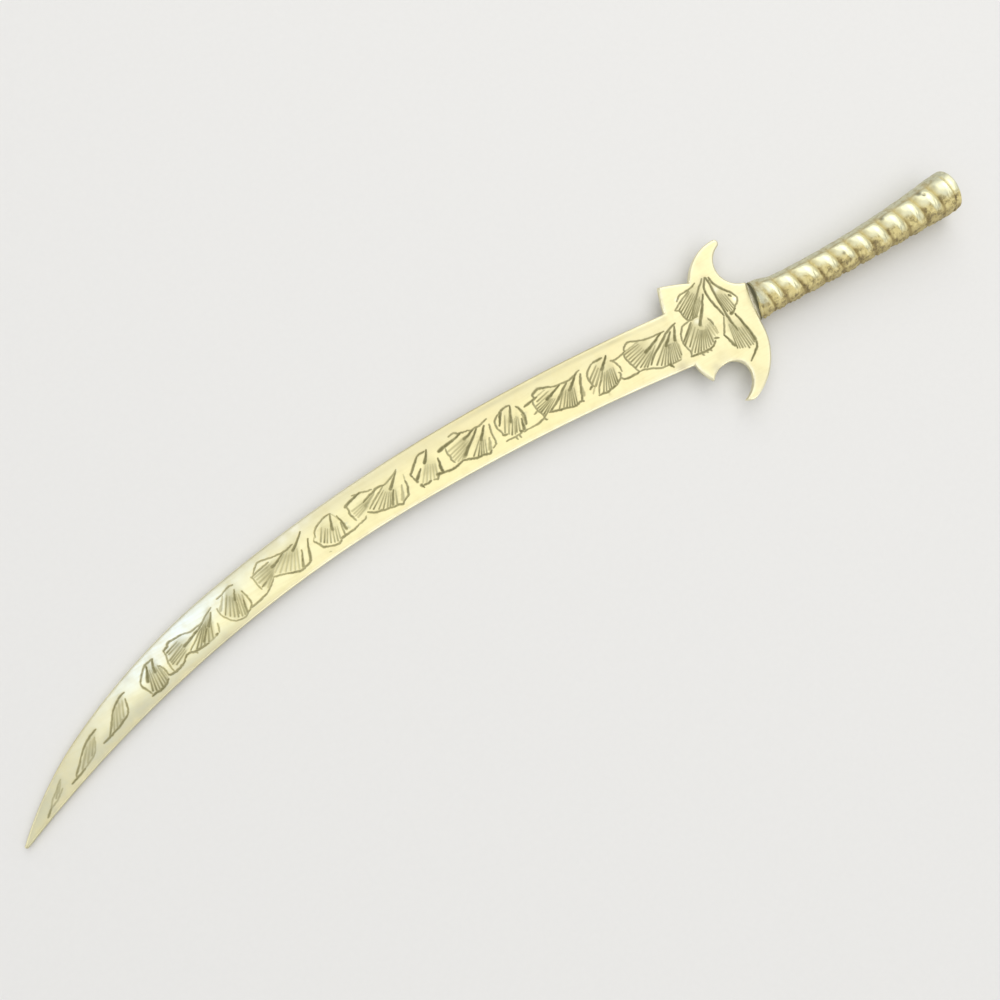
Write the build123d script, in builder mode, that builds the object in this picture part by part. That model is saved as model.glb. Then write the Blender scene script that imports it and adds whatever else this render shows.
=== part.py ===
"""Brass letter opener: a flat curved blade and horned guard in one plate, soldered into a rope-twist grip.

Plan sizes are in millimetres from the blade's root line (x, growing towards the pommel) and from the
grip's axis (y, growing towards the convex edge). The finished model stands on its grip, with the origin
at the middle of the bottom of its box, the blade along -X and the plate's faces level.
"""

import os
from math import ceil, cos, degrees, pi, radians, sin, tan, tau

from build123d import *

# Plate, one thickness from the tip to the shoulder of the tang
plate_thickness = 1.8

# Blade, a sabre curve between a hollow edge and a crowned edge
blade_length = 175.0
root_inset = 4.0
root_top = 8.35
root_bottom = -5.35
hollow_point = (-69.7, 0.05)
crest_point = (-55.7, 12.0)
belly_point = (-116.7, 6.7)
sweep_point = (-154.7, -5.5)
tip_top = -19.1
tip_bottom = -20.6
tip_round = 0.7
crest_bevel = 2.1
hollow_bevel = 1.1
bevel_fall = 0.45
bevel_overrun = 2.0

# Guard, an upper horn that curls back and a lower horn that curls forward, with a spur before each
guard_length = 19.1
guard_root_top = 8.0
guard_root_bottom = -4.2
upper_spur = (2.1, 14.65)
upper_notch = (8.4, 12.25)
upper_horn_crown = (18.7, 17.85)
upper_horn_end = (19.05, 15.95)
lower_horn_heel = (8.0, -18.1)
lower_horn_end = (5.7, -17.2)
lower_crook = (10.3, -12.2)
lower_saddle = (5.9, -8.0)
lower_spur = (1.9, -9.95)
neck_top = 5.75
neck_bottom = -3.95
spur_bow = 0.4
horn_nose = 0.85
upper_horn_bow = 1.6
upper_crook_bow = 3.8
lower_horn_bow = 2.8
lower_heel_bow = 0.2
lower_tip_bow = 0.9
lower_crook_bow = 1.5
saddle_bow = 0.5

# Seam between the plate's shoulder and the grip's mouth, slanted across the grip
seam_slant = 10.5
seam_width = 1.6
collar_thickness = 3.4
collar_inset = 0.35

# Tang, and the film of solder that fixes it in the grip's socket
tang_width = 4.0
tang_thickness = 1.2
tang_depth = 14.0
solder_gap = 0.25

# Grip, waisted and flared, with a single-start rope twist
grip_length = 54.6
mouth_radius = 4.1
waist_radius = 3.8
waist_from_mouth = 12.5
pommel_radius = 5.0
pommel_band = 5.0
pommel_dome = 0.9
pommel_corner = 0.8
twist_pitch = 4.9
twist_depth = 0.5
sections_per_turn = 8

# Places that follow from the sizes
half = plate_thickness / 2
slope = tan(radians(seam_slant))
mouth_x = guard_length + seam_width
waist_x = mouth_x + waist_from_mouth
pommel_x = mouth_x + grip_length
band_x = pommel_x - pommel_band
tang_half = tang_width / 2
tang_end = mouth_x + tang_depth
socket_half = tang_half + solder_gap
socket_end = tang_end + solder_gap
socket_start = mouth_x - seam_width / 2
tang_start = guard_length - seam_width
nose_x = -blade_length + tip_round


def seam_point(along: float, across: float) -> tuple[float, float]:
    """Gives the plan point on a line parallel to the seam that crosses the grip's axis at `along`."""
    return (along + across * slope, across)


# Plan of the blade
with BuildSketch() as blade_plan:
    with BuildLine():
        hollow_rear = TangentArc(hollow_point, (root_inset, root_bottom), tangent=(1, 0))
        hollow_front = TangentArc(hollow_point, (nose_x, tip_bottom), tangent=(-1, 0))
        crest_rear = TangentArc(crest_point, (root_inset, root_top), tangent=(1, 0))
        crest_front = TangentArc(crest_point, belly_point, tangent=(-1, 0))
        belly = TangentArc(belly_point, sweep_point, tangent=crest_front % 1)
        sweep_edge = TangentArc(sweep_point, (nose_x, tip_top), tangent=belly % 1)
        SagittaArc(sweep_edge @ 1, hollow_front @ 1, -tip_round)
        Line(crest_rear @ 1, hollow_rear @ 1)
    make_face()

# Plan of the guard
with BuildSketch() as guard_plan:
    with BuildLine():
        SagittaArc((0, guard_root_top), upper_spur, spur_bow)
        SagittaArc(upper_spur, upper_notch, spur_bow)
        SagittaArc(upper_notch, upper_horn_crown, upper_horn_bow)
        SagittaArc(upper_horn_crown, upper_horn_end, horn_nose)
        SagittaArc(upper_horn_end, seam_point(guard_length, neck_top), -upper_crook_bow)
        Line(seam_point(guard_length, neck_top), seam_point(guard_length, neck_bottom))
        SagittaArc(seam_point(guard_length, neck_bottom), lower_horn_heel, lower_horn_bow)
        SagittaArc(lower_horn_heel, lower_horn_end, lower_heel_bow)
        SagittaArc(lower_horn_end, lower_crook, -lower_tip_bow)
        SagittaArc(lower_crook, lower_saddle, -lower_crook_bow)
        SagittaArc(lower_saddle, lower_spur, -saddle_bow)
        SagittaArc(lower_spur, (0, guard_root_bottom), spur_bow)
        Line((0, guard_root_bottom), (0, guard_root_top))
    make_face()

# Plans of the tang and of the socket around it
with BuildSketch() as tang_plan:
    with BuildLine():
        Polyline(
            seam_point(tang_start, tang_half),
            (tang_end, tang_half),
            (tang_end, -tang_half),
            seam_point(tang_start, -tang_half),
            close=True,
        )
    make_face()
with BuildSketch() as socket_plan:
    with BuildLine():
        Polyline(
            seam_point(socket_start, socket_half),
            (socket_end, socket_half),
            (socket_end, -socket_half),
            seam_point(socket_start, -socket_half),
            close=True,
        )
    make_face()

# The model's frame: the box's middle in plan, and the pommel's lowest point at height zero
blade_box = blade_plan.sketch.bounding_box()
guard_box = guard_plan.sketch.bounding_box()
middle_x = (blade_box.min.X + pommel_x) / 2
middle_y = (min(blade_box.min.Y, guard_box.min.Y) + max(blade_box.max.Y, guard_box.max.Y)) / 2
plan = Plane(origin=(-middle_x, -middle_y, pommel_radius))
grip_axis = Axis(plan.origin, plan.x_dir)
profile_plane = Plane(origin=plan.origin, x_dir=plan.x_dir, z_dir=-plan.y_dir)


def cross_plane(along: float) -> Plane:
    """Gives the plane square to the grip's axis at a plan place, with its own x along the width."""
    return Plane(origin=plan.from_local_coords((along, 0, 0)), x_dir=plan.y_dir, z_dir=plan.x_dir)


def seam_plane(along: float) -> Plane:
    """Gives the slanted plane that crosses the grip's axis at a plan place, facing the pommel."""
    return Plane(origin=plan.from_local_coords((along, 0, 0)), x_dir=(slope, 1, 0), z_dir=(1, -slope, 0))


def core_radius(along: float) -> float:
    """Gives the grip's outer radius at a plan place: a waist that widens both ways as a square."""
    if along < waist_x:
        return waist_radius + (mouth_radius - waist_radius) * ((waist_x - along) / waist_from_mouth) ** 2
    return waist_radius + (pommel_radius - waist_radius) * ((along - waist_x) / (band_x - waist_x)) ** 2


# Blade, guard and tang in one plate, with both edges bevelled from both faces as far as the guard
with BuildPart() as blade:
    with BuildSketch(plan):
        add(blade_plan.sketch)
    extrude(amount=half, both=True)
    for arc, spin, inward, width in (
        (hollow_rear, -1, 1, hollow_bevel),
        (hollow_front, 1, 1, hollow_bevel),
        (crest_rear, -1, -1, crest_bevel),
        (crest_front, 1, -1, crest_bevel),
        (belly, 1, -1, crest_bevel),
        (sweep_edge, 1, -1, crest_bevel),
    ):
        centre = plan.from_local_coords(arc.arc_center)
        edge_start = plan.from_local_coords(arc @ 0)
        outward = (edge_start - centre).normalized()
        outer = -inward * bevel_overrun
        outer_fall = bevel_fall * (1 + bevel_overrun / width)
        with BuildSketch(Plane(origin=edge_start, x_dir=outward, z_dir=outward.cross(plan.z_dir))):
            for side in (1, -1):
                with BuildLine():
                    Polyline(
                        (inward * width, side * half),
                        (outer, side * half),
                        (outer, side * (half - outer_fall)),
                        close=True,
                    )
                make_face()
        bevel_turn = degrees((arc.length + bevel_overrun) / arc.radius)
        revolve(axis=Axis(centre, (0, 0, spin)), revolution_arc=bevel_turn, mode=Mode.SUBTRACT)
    with BuildSketch(plan):
        add(guard_plan.sketch)
    extrude(amount=half, both=True)
    with BuildSketch(plan):
        add(tang_plan.sketch)
    extrude(amount=tang_thickness / 2, both=True)

# Grip, round sections whose centres wind about the axis, then a plain pommel and the tang's socket
twist_step = twist_pitch / sections_per_turn
twist_offset = twist_depth / 2
twist_steps = ceil((band_x - mouth_x + mouth_radius) / twist_step)
plain_x = band_x + twist_step
with BuildPart() as grip:
    for step in range(-twist_steps, 1):
        section_x = band_x + step * twist_step
        wind = tau * step / sections_per_turn - pi / 2
        with BuildSketch(cross_plane(section_x)):
            with Locations((twist_offset * cos(wind), twist_offset * sin(wind))):
                Circle(core_radius(section_x) - twist_offset)
    with BuildSketch(cross_plane(plain_x)):
        Circle(pommel_radius)
    loft(ruled=True)
    with BuildSketch(profile_plane) as pommel:
        with BuildLine():
            rim = (pommel_x - pommel_dome, pommel_radius)
            Polyline((pommel_x, 0), (plain_x, 0), (plain_x, pommel_radius), rim)
            TangentArc((pommel_x, 0), rim, tangent=(0, 1))
        make_face()
        fillet(pommel.vertices().sort_by_distance(rim)[0], pommel_corner)
    revolve(axis=grip_axis)
    split(bisect_by=seam_plane(mouth_x), keep=Keep.TOP)
    with BuildSketch(plan):
        add(socket_plan.sketch)
    extrude(amount=tang_thickness / 2 + solder_gap, both=True, mode=Mode.SUBTRACT)

# Solder, a collar between the shoulder and the mouth, and a film all round the tang
with BuildPart() as solder:
    with BuildSketch(seam_plane(guard_length)):
        with Locations(((neck_top + neck_bottom) / 2, 0)):
            Ellipse((neck_top - neck_bottom) / 2 - collar_inset, collar_thickness / 2)
    with BuildSketch(seam_plane(mouth_x)):
        Circle(mouth_radius - collar_inset)
    loft()
    with BuildSketch(plan):
        add(socket_plan.sketch)
    extrude(amount=tang_thickness / 2 + solder_gap, both=True)
    with BuildSketch(plan):
        add(tang_plan.sketch)
    extrude(amount=tang_thickness / 2, both=True, mode=Mode.SUBTRACT)

# One file for each piece
os.makedirs("parts", exist_ok=True)
for name, piece in (("blade", blade), ("grip", grip), ("solder", solder)):
    piece.part.label = name
    export_step(piece.part, f"parts/{name}.step")
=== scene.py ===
"""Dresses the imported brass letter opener: chased blade plate, cast rope-twist grip and grey solder seam.

Plan places are in millimetres, from the pommel's end (x, negative towards the tip) and from the grip's
axis (y, growing towards the blade's convex edge). Heights are from the plate's middle plane.
"""

import logging
from dataclasses import dataclass
from enum import Enum
from math import atan, cos, hypot, pi, radians, sin, tan, tau
from typing import Any

import bpy
import numpy as np
from mathutils import Euler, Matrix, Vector
from mathutils.geometry import delaunay_2d_cdt


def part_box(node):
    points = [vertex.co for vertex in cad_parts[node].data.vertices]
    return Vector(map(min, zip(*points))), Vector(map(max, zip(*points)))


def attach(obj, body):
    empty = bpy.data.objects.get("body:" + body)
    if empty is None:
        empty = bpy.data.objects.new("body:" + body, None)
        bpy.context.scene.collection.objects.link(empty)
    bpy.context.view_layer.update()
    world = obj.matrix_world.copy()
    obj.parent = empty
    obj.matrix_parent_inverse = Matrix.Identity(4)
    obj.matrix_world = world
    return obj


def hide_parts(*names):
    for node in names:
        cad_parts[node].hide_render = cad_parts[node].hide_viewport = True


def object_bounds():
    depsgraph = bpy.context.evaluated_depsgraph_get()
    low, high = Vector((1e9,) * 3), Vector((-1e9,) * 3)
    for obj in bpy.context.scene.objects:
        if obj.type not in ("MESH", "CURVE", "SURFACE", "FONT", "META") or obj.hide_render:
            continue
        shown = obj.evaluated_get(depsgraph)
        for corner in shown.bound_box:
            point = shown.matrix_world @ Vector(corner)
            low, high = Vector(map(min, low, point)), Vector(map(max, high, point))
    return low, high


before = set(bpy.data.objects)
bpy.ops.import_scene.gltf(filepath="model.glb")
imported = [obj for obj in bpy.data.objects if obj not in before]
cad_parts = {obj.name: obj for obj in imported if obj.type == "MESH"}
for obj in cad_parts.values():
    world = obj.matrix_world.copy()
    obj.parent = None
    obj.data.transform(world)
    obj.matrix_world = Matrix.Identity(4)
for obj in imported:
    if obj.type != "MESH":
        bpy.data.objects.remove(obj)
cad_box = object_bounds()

log = logging.getLogger("letter_opener")

MM = 0.001
SHARP_ANGLE = 48.0
Point = tuple[float, float]
Colour = tuple[float, float, float]
Four = tuple[float, float, float, float]


def smooth_step(low: float, high: float, value: np.ndarray) -> np.ndarray:
    """Rises from 0 at `low` to 1 at `high` along the cubic 3t^2 - 2t^3.

    Args:
        low: Where the rise starts.
        high: Where the rise ends.
        value: Places to work it out at.

    Returns:
        The risen share at each place.
    """
    t = np.clip((value - low) / (high - low), 0.0, 1.0)
    return t * t * (3.0 - 2.0 * t)


def flowing_line(points: tuple[Point, ...], per_span: int) -> np.ndarray:
    """Rounds a broken line into a Catmull-Rom curve through its corners.

    Between two corners the curve is the cubic whose end slopes are half the step between each corner's
    neighbours.

    Args:
        points: The corners.
        per_span: Pieces between two corners.

    Returns:
        The curve's points, first and last corner included.
    """
    corners = np.array(points, float)
    padded = np.concatenate([2 * corners[:1] - corners[1:2], corners, 2 * corners[-1:] - corners[-2:-1]])
    before, start, end, after = padded[:-3], padded[1:-2], padded[2:-1], padded[3:]
    t = (np.arange(per_span) / per_span)[None, :, None]
    start_slope, end_slope = (end - before) / 2, (after - start) / 2
    curve = (
        (2 * t**3 - 3 * t**2 + 1) * start[:, None]
        + (t**3 - 2 * t**2 + t) * start_slope[:, None]
        + (3 * t**2 - 2 * t**3) * end[:, None]
        + (t**3 - t**2) * end_slope[:, None]
    )
    return np.concatenate([curve.reshape(-1, 2), corners[-1:]])


class Value:
    """A shader socket that takes part in Python expressions: each operator adds one Math node."""

    def __init__(self, tree: bpy.types.NodeTree, socket: bpy.types.NodeSocket) -> None:
        """Keeps the tree and the socket."""
        self.tree = tree
        self.socket = socket

    def _math(self, operation: str, *operands: Any, clamp: bool = False) -> "Value":
        """Adds a Math node.

        Args:
            operation: The Math node's operation.
            *operands: Its inputs in order, as values or numbers.
            clamp: Whether its result is held between 0 and 1.

        Returns:
            The node's result.
        """
        node = self.tree.nodes.new("ShaderNodeMath")
        node.operation = operation
        node.use_clamp = clamp
        for socket, operand in zip(node.inputs, operands):
            if isinstance(operand, Value):
                self.tree.links.new(operand.socket, socket)
            else:
                socket.default_value = operand
        return Value(self.tree, node.outputs[0])

    def __add__(self, other: Any) -> "Value":
        """Adds."""
        return self._math("ADD", self, other)

    def __radd__(self, other: Any) -> "Value":
        """Adds from the right."""
        return self._math("ADD", other, self)

    def __sub__(self, other: Any) -> "Value":
        """Takes away."""
        return self._math("SUBTRACT", self, other)

    def __rsub__(self, other: Any) -> "Value":
        """Takes this away from another."""
        return self._math("SUBTRACT", other, self)

    def __mul__(self, other: Any) -> "Value":
        """Multiplies."""
        return self._math("MULTIPLY", self, other)

    def __rmul__(self, other: Any) -> "Value":
        """Multiplies from the right."""
        return self._math("MULTIPLY", other, self)

    def __truediv__(self, other: Any) -> "Value":
        """Divides."""
        return self._math("DIVIDE", self, other)

    def held(self) -> "Value":
        """Holds the value between 0 and 1."""
        return self._math("ADD", self, 0.0, clamp=True)

    def rise(self, low: float, high: float) -> "Value":
        """Goes straight from 0 at `low` to 1 at `high`, and is held there."""
        return ((self - low) / (high - low)).held()


class Shader:
    """The node tree of one new material, with its Principled BSDF ready for use."""

    def __init__(self, name: str) -> None:
        """Makes the material.

        Args:
            name: The material's name.
        """
        self.material = bpy.data.materials.new(name)
        self.material.use_nodes = True
        self.tree = self.material.node_tree
        self.surface = self.tree.nodes["Principled BSDF"]

    def node(self, kind: str, settings: dict[str, Any], inputs: dict[str, Any], output: str) -> Value:
        """Adds any other node.

        Args:
            kind: The node's type.
            settings: Its own settings, set first.
            inputs: Its sockets' values or links, by the sockets' identifiers.
            output: The identifier of the output to use.

        Returns:
            That output.
        """
        node = self.tree.nodes.new(kind)
        for name, setting in settings.items():
            setattr(node, name, setting)
        for name, value in inputs.items():
            socket = next(s for s in node.inputs if s.identifier == name)
            if isinstance(value, Value):
                self.tree.links.new(value.socket, socket)
            else:
                socket.default_value = value
        return Value(self.tree, next(s for s in node.outputs if s.identifier == output))

    def attribute(self, name: str) -> Value:
        """Reads a number kept on the mesh."""
        return self.node("ShaderNodeAttribute", {"attribute_name": name}, {}, "Fac")

    def place(self) -> Value:
        """Reads the place on the object, in metres."""
        return self.node("ShaderNodeTexCoord", {}, {}, "Object")

    def stretched(self, vector: Value, scale: Colour, turn: float = 0.0) -> Value:
        """Turns a place about the upright axis and stretches it.

        Args:
            vector: The place.
            scale: Factors along the three axes.
            turn: Turn in degrees.

        Returns:
            The mapped place.
        """
        inputs = {"Vector": vector, "Scale": scale, "Rotation": (0.0, 0.0, radians(turn))}
        return self.node("ShaderNodeMapping", {}, inputs, "Vector")

    def noise(self, vector: Value, scale: float, detail: float = 3.0, rough: float = 0.55) -> Value:
        """Gives soft noise between 0 and 1.

        Args:
            vector: The place.
            scale: Waves for each unit of place.
            detail: Octaves of finer noise.
            rough: Strength of each finer octave.

        Returns:
            The noise.
        """
        inputs = {"Vector": vector, "Scale": scale, "Detail": detail, "Roughness": rough}
        return self.node("ShaderNodeTexNoise", {}, inputs, "Fac")

    def mix(self, share: Any, first: Any, second: Any) -> Value:
        """Mixes two colours.

        Args:
            share: Share of the second, from 0 to 1.
            first: A colour or a link.
            second: A colour or a link.

        Returns:
            The mixed colour.
        """
        colours = [c if isinstance(c, Value) else (*c, 1.0) for c in (first, second)]
        inputs = {"Factor_Float": share, "A_Color": colours[0], "B_Color": colours[1]}
        return self.node("ShaderNodeMix", {"data_type": "RGBA"}, inputs, "Result_Color")

    def bump(self, height: Value, strength: float, distance: float, under: Value | None = None) -> Value:
        """Turns a height into a normal.

        Args:
            height: The height, from 0 to 1.
            strength: Share of the bump that is used.
            distance: Height in metres that 1 stands for.
            under: A bump that this one lies on.

        Returns:
            The normal.
        """
        inputs: dict[str, Any] = {"Height": height, "Strength": strength, "Distance": distance}
        if under is not None:
            inputs["Normal"] = under
        return self.node("ShaderNodeBump", {}, inputs, "Normal")

    def link(self, name: str, value: Any) -> None:
        """Sets or links one of the surface's own sockets by its name.

        Args:
            name: The socket's name.
            value: A number, a colour or a link.
        """
        socket = self.surface.inputs[name]
        if isinstance(value, Value):
            self.tree.links.new(value.socket, socket)
        else:
            socket.default_value = value


@dataclass(frozen=True)
class BladeBrass:
    """Pale worn brass with olive tarnish in the chased lines; painted shade darkens it towards the crest and
    the tip.
    """

    clean: Colour = (0.77, 0.71, 0.395)
    guard: Colour = (0.755, 0.705, 0.43)
    # crest: painted shade, darker and browner where the crest side reflects less light
    crest: Colour = (0.65, 0.605, 0.375)
    # tip: painted shade that dims the blade towards the tip, partly olive patina
    tip: Colour = (0.495, 0.47, 0.305)
    # painted reflection: a cool whitish sheen on the crest half near the tip
    cool_sheen: Colour = (0.73, 0.76, 0.64)
    # painted shade on the crest bevel, along the blade's rear half
    crest_bevel_shade: Colour = (0.46, 0.43, 0.27)
    smudge: Colour = (0.46, 0.42, 0.29)
    glint: Colour = (0.93, 0.925, 0.76)
    # rim: painted highlight along the plate's rounded edges
    rim: Colour = (0.90, 0.87, 0.66)
    spot: Colour = (0.64, 0.57, 0.30)
    warm: Colour = (0.77, 0.685, 0.385)
    tarnish: Colour = (0.215, 0.20, 0.088)
    gloss: float = 0.33

    def material(self) -> bpy.types.Material:
        """Builds the finish.

        The mesh's own numbers shift the brass towards its guard colour, paint shade towards the crest, the
        crest bevel and the tip, paint highlights along the rim and a cool sheen near the tip, and darken the
        chased lines. Noise breaks the shifts up, and streaks along the blade shift its gloss.

        Returns:
            The material.
        """
        shader = Shader("blade_brass")
        place = shader.place()
        lines = shader.attribute("tarnish")
        crest = shader.attribute("crest")
        guard = shader.attribute("guard")
        tip = shader.attribute("tip")
        broad = shader.noise(place, 90.0, 4.0)
        cloudy = shader.noise(place, 330.0, 5.0, 0.6)
        streaks = shader.noise(shader.stretched(place, (110.0, 2100.0, 900.0), 4.0), 1.0, 4.0, 0.6)
        grain = shader.noise(place, 5200.0, 2.0)
        colour = shader.mix(guard, self.clean, self.guard)
        # painted shade towards the crest side
        colour = shader.mix((crest * (0.55 + broad * 0.6)).held(), colour, self.crest)
        # painted shade, partly olive patina, towards the tip
        colour = shader.mix((tip * (0.5 + broad)).held(), colour, self.tip)
        # painted cool reflection near the tip
        colour = shader.mix((shader.attribute("cool_sheen") * (0.6 + broad * 0.6)).held(), colour, self.cool_sheen)
        colour = shader.mix(broad.rise(0.48, 0.72) * 0.6, colour, self.warm)
        # painted shade on the crest bevel
        crest_bevel_shade = shader.attribute("crest_bevel_shade") * (0.35 + broad.rise(0.35, 0.65) * 0.6)
        colour = shader.mix(crest_bevel_shade.held(), colour, self.crest_bevel_shade)
        colour = shader.mix(shader.attribute("glint"), colour, self.glint)
        # painted highlight along the rounded rim
        colour = shader.mix((shader.attribute("rim") * (0.4 + broad)).held() * 0.85, colour, self.rim)
        smudge = shader.attribute("smudge") * (0.5 + cloudy)
        colour = shader.mix(smudge.held(), colour, self.smudge)
        colour = shader.mix(cloudy.rise(0.46, 0.80) * 0.5, colour, self.spot)
        colour = shader.mix(streaks.rise(0.50, 0.80) * 0.3, colour, self.spot)
        colour = shader.mix((lines * (0.80 + cloudy * 0.4)).held(), colour, self.tarnish)
        rough = self.gloss + streaks.rise(0.3, 0.8) * 0.12 + cloudy * 0.06 + lines * 0.2
        normal = shader.bump(streaks, 0.12, 0.00002)
        normal = shader.bump(grain + broad * 2.0, 0.10, 0.00003, normal)
        shader.link("Base Color", colour)
        shader.link("Roughness", rough.held())
        shader.link("Metallic", 1.0 - lines * 0.25)
        shader.link("Normal", normal)
        return shader.material


@dataclass(frozen=True)
class GripBrass:
    """Cast brass: worn lumps with painted highlights, painted olive shade along its upper side, and painted
    shade with speckled brown dirt along the lower.
    """

    # pale worn metal with painted highlights on the lumps
    pale_wear_and_highlight: Colour = (0.92, 0.905, 0.605)
    plain: Colour = (0.72, 0.71, 0.47)
    grey: Colour = (0.54, 0.55, 0.41)
    # olive: painted shade along the grip's upper side
    olive: Colour = (0.47, 0.465, 0.32)
    # ochre: patina in the valleys, and painted shade with dirt along the lower side
    ochre: Colour = (0.70, 0.595, 0.25)
    # brown: patina blotches, and painted shade on the lower side and underside
    brown: Colour = (0.30, 0.225, 0.075)
    dark: Colour = (0.13, 0.10, 0.042)

    def material(self) -> bpy.types.Material:
        """Builds the finish from the numbers on the mesh, broken up by noise.

        Returns:
            The material.
        """
        shader = Shader("grip_brass")
        place = shader.place()
        valley = shader.attribute("valley")
        lower = shader.attribute("lower")
        shaded_strip = shader.attribute("shaded_strip")
        wear_and_highlight = shader.attribute("wear_and_highlight")
        pit = shader.attribute("pit")
        cloudy = shader.noise(place, 520.0, 5.0, 0.62)
        fine = shader.noise(place, 1500.0, 4.0, 0.65)
        grain = shader.noise(place, 4200.0, 3.0)
        blotch = shader.noise(place, 780.0, 4.0, 0.6)
        specks = blotch.rise(0.50, 0.60) * fine.rise(0.42, 0.56)
        open_valley = valley * (1.0 - shaded_strip * 0.8)
        crease = (open_valley * (0.6 + blotch * 0.9)).held()
        # painted shade along the grip's lower side, mottled with dirt
        grime_and_shade = (lower * (0.45 + blotch * 1.2) + (fine - 0.5) * lower * 0.9).held()
        colour = shader.mix(cloudy.rise(0.38, 0.70), self.plain, self.grey)
        # painted highlight crescents on the worn lumps
        colour = shader.mix((wear_and_highlight * (0.8 + cloudy * 0.45)).held(), colour, self.pale_wear_and_highlight)
        # painted shade along the grip's upper side, broken by patina blotches and pale specks
        colour = shader.mix((shaded_strip * (0.7 + cloudy)).held() * 0.95, colour, self.olive)
        colour = shader.mix(shaded_strip * blotch.rise(0.50, 0.62) * 0.55, colour, self.brown)
        colour = shader.mix(shaded_strip * fine.rise(0.52, 0.62) * 0.4, colour, self.plain)
        colour = shader.mix((crease * 0.9).held(), colour, self.ochre)
        colour = shader.mix(grime_and_shade * 0.95, colour, self.ochre)
        # brown blotches in the painted lower shade and its dirt
        stain = (grime_and_shade * blotch.rise(0.42, 0.60) * (0.45 + valley)).held()
        colour = shader.mix(stain * 0.9, colour, self.brown)
        # valley patina, deepened by painted shade on the lower side; the groove line adds patina and the
        # underside gets painted shade
        deep = open_valley.rise(0.45, 1.0) * (0.3 + lower * 0.9)
        deep = deep + shader.attribute("line") * (0.35 + cloudy * 0.6)
        deep = deep + shader.attribute("under") * (0.25 + blotch * 0.5)
        colour = shader.mix(deep.held() * 0.85, colour, self.brown)
        dots = (specks * (lower * 1.1 + valley * 0.3 + 0.03) + pit * 1.3).held()
        colour = shader.mix(dots * 0.62, colour, self.dark)
        rough = 0.34 + crease * 0.14 + grime_and_shade * 0.18 + shaded_strip * 0.1 + (fine - 0.5) * 0.14
        normal = shader.bump(cloudy * (0.35 + lower), 0.4, 0.00018)
        normal = shader.bump((fine + grain * 0.4) * (0.3 + lower), 0.35, 0.00012, normal)
        shader.link("Base Color", colour)
        shader.link("Roughness", rough.held())
        shader.link("Metallic", (0.55 + wear_and_highlight * 0.35 - grime_and_shade * 0.35 - shaded_strip * 0.4 - crease * 0.2).held())
        shader.link("Normal", normal)
        return shader.material


@dataclass(frozen=True)
class SolderGrey:
    """Dull grey solder with a dark line of dirt at the grip's mouth and a faint one at the shoulder."""

    grey: Colour = (0.70, 0.66, 0.49)
    pale: Colour = (0.88, 0.84, 0.65)
    dirt: Colour = (0.10, 0.094, 0.042)

    def material(self) -> bpy.types.Material:
        """Builds the finish from noise and the dirt number on the mesh.

        Returns:
            The material.
        """
        shader = Shader("solder_grey")
        place = shader.place()
        dirt = shader.attribute("dirt")
        cloudy = shader.noise(place, 700.0, 5.0, 0.6)
        fine = shader.noise(place, 2600.0, 3.0)
        colour = shader.mix(cloudy.rise(0.35, 0.7), self.grey, self.pale)
        colour = shader.mix((dirt * cloudy.rise(0.0, 0.42)).held(), colour, self.dirt)
        shader.link("Base Color", colour)
        shader.link("Roughness", (0.42 + cloudy * 0.2 + dirt * 0.15).held())
        shader.link("Metallic", 0.25 - dirt * 0.2)
        shader.link("Normal", shader.bump(cloudy + fine * 0.5, 0.35, 0.00015))
        return shader.material


@dataclass(frozen=True)
class PaleFloor:
    """A plain pale floor with hardly any gloss."""

    colour: Colour = (0.79, 0.79, 0.78)

    def material(self) -> bpy.types.Material:
        """Builds the finish: one colour that fine noise barely shifts.

        Returns:
            The material.
        """
        shader = Shader("pale_floor")
        noise = shader.noise(shader.place(), 900.0, 3.0)
        darker: Colour = tuple(c * 0.97 for c in self.colour)
        shader.link("Base Color", shader.mix(noise, self.colour, darker))
        shader.link("Roughness", 0.9)
        shader.link("Specular IOR Level", 0.1)
        return shader.material


class Body(Enum):
    """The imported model's only body."""

    ROOT = "root"


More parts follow.
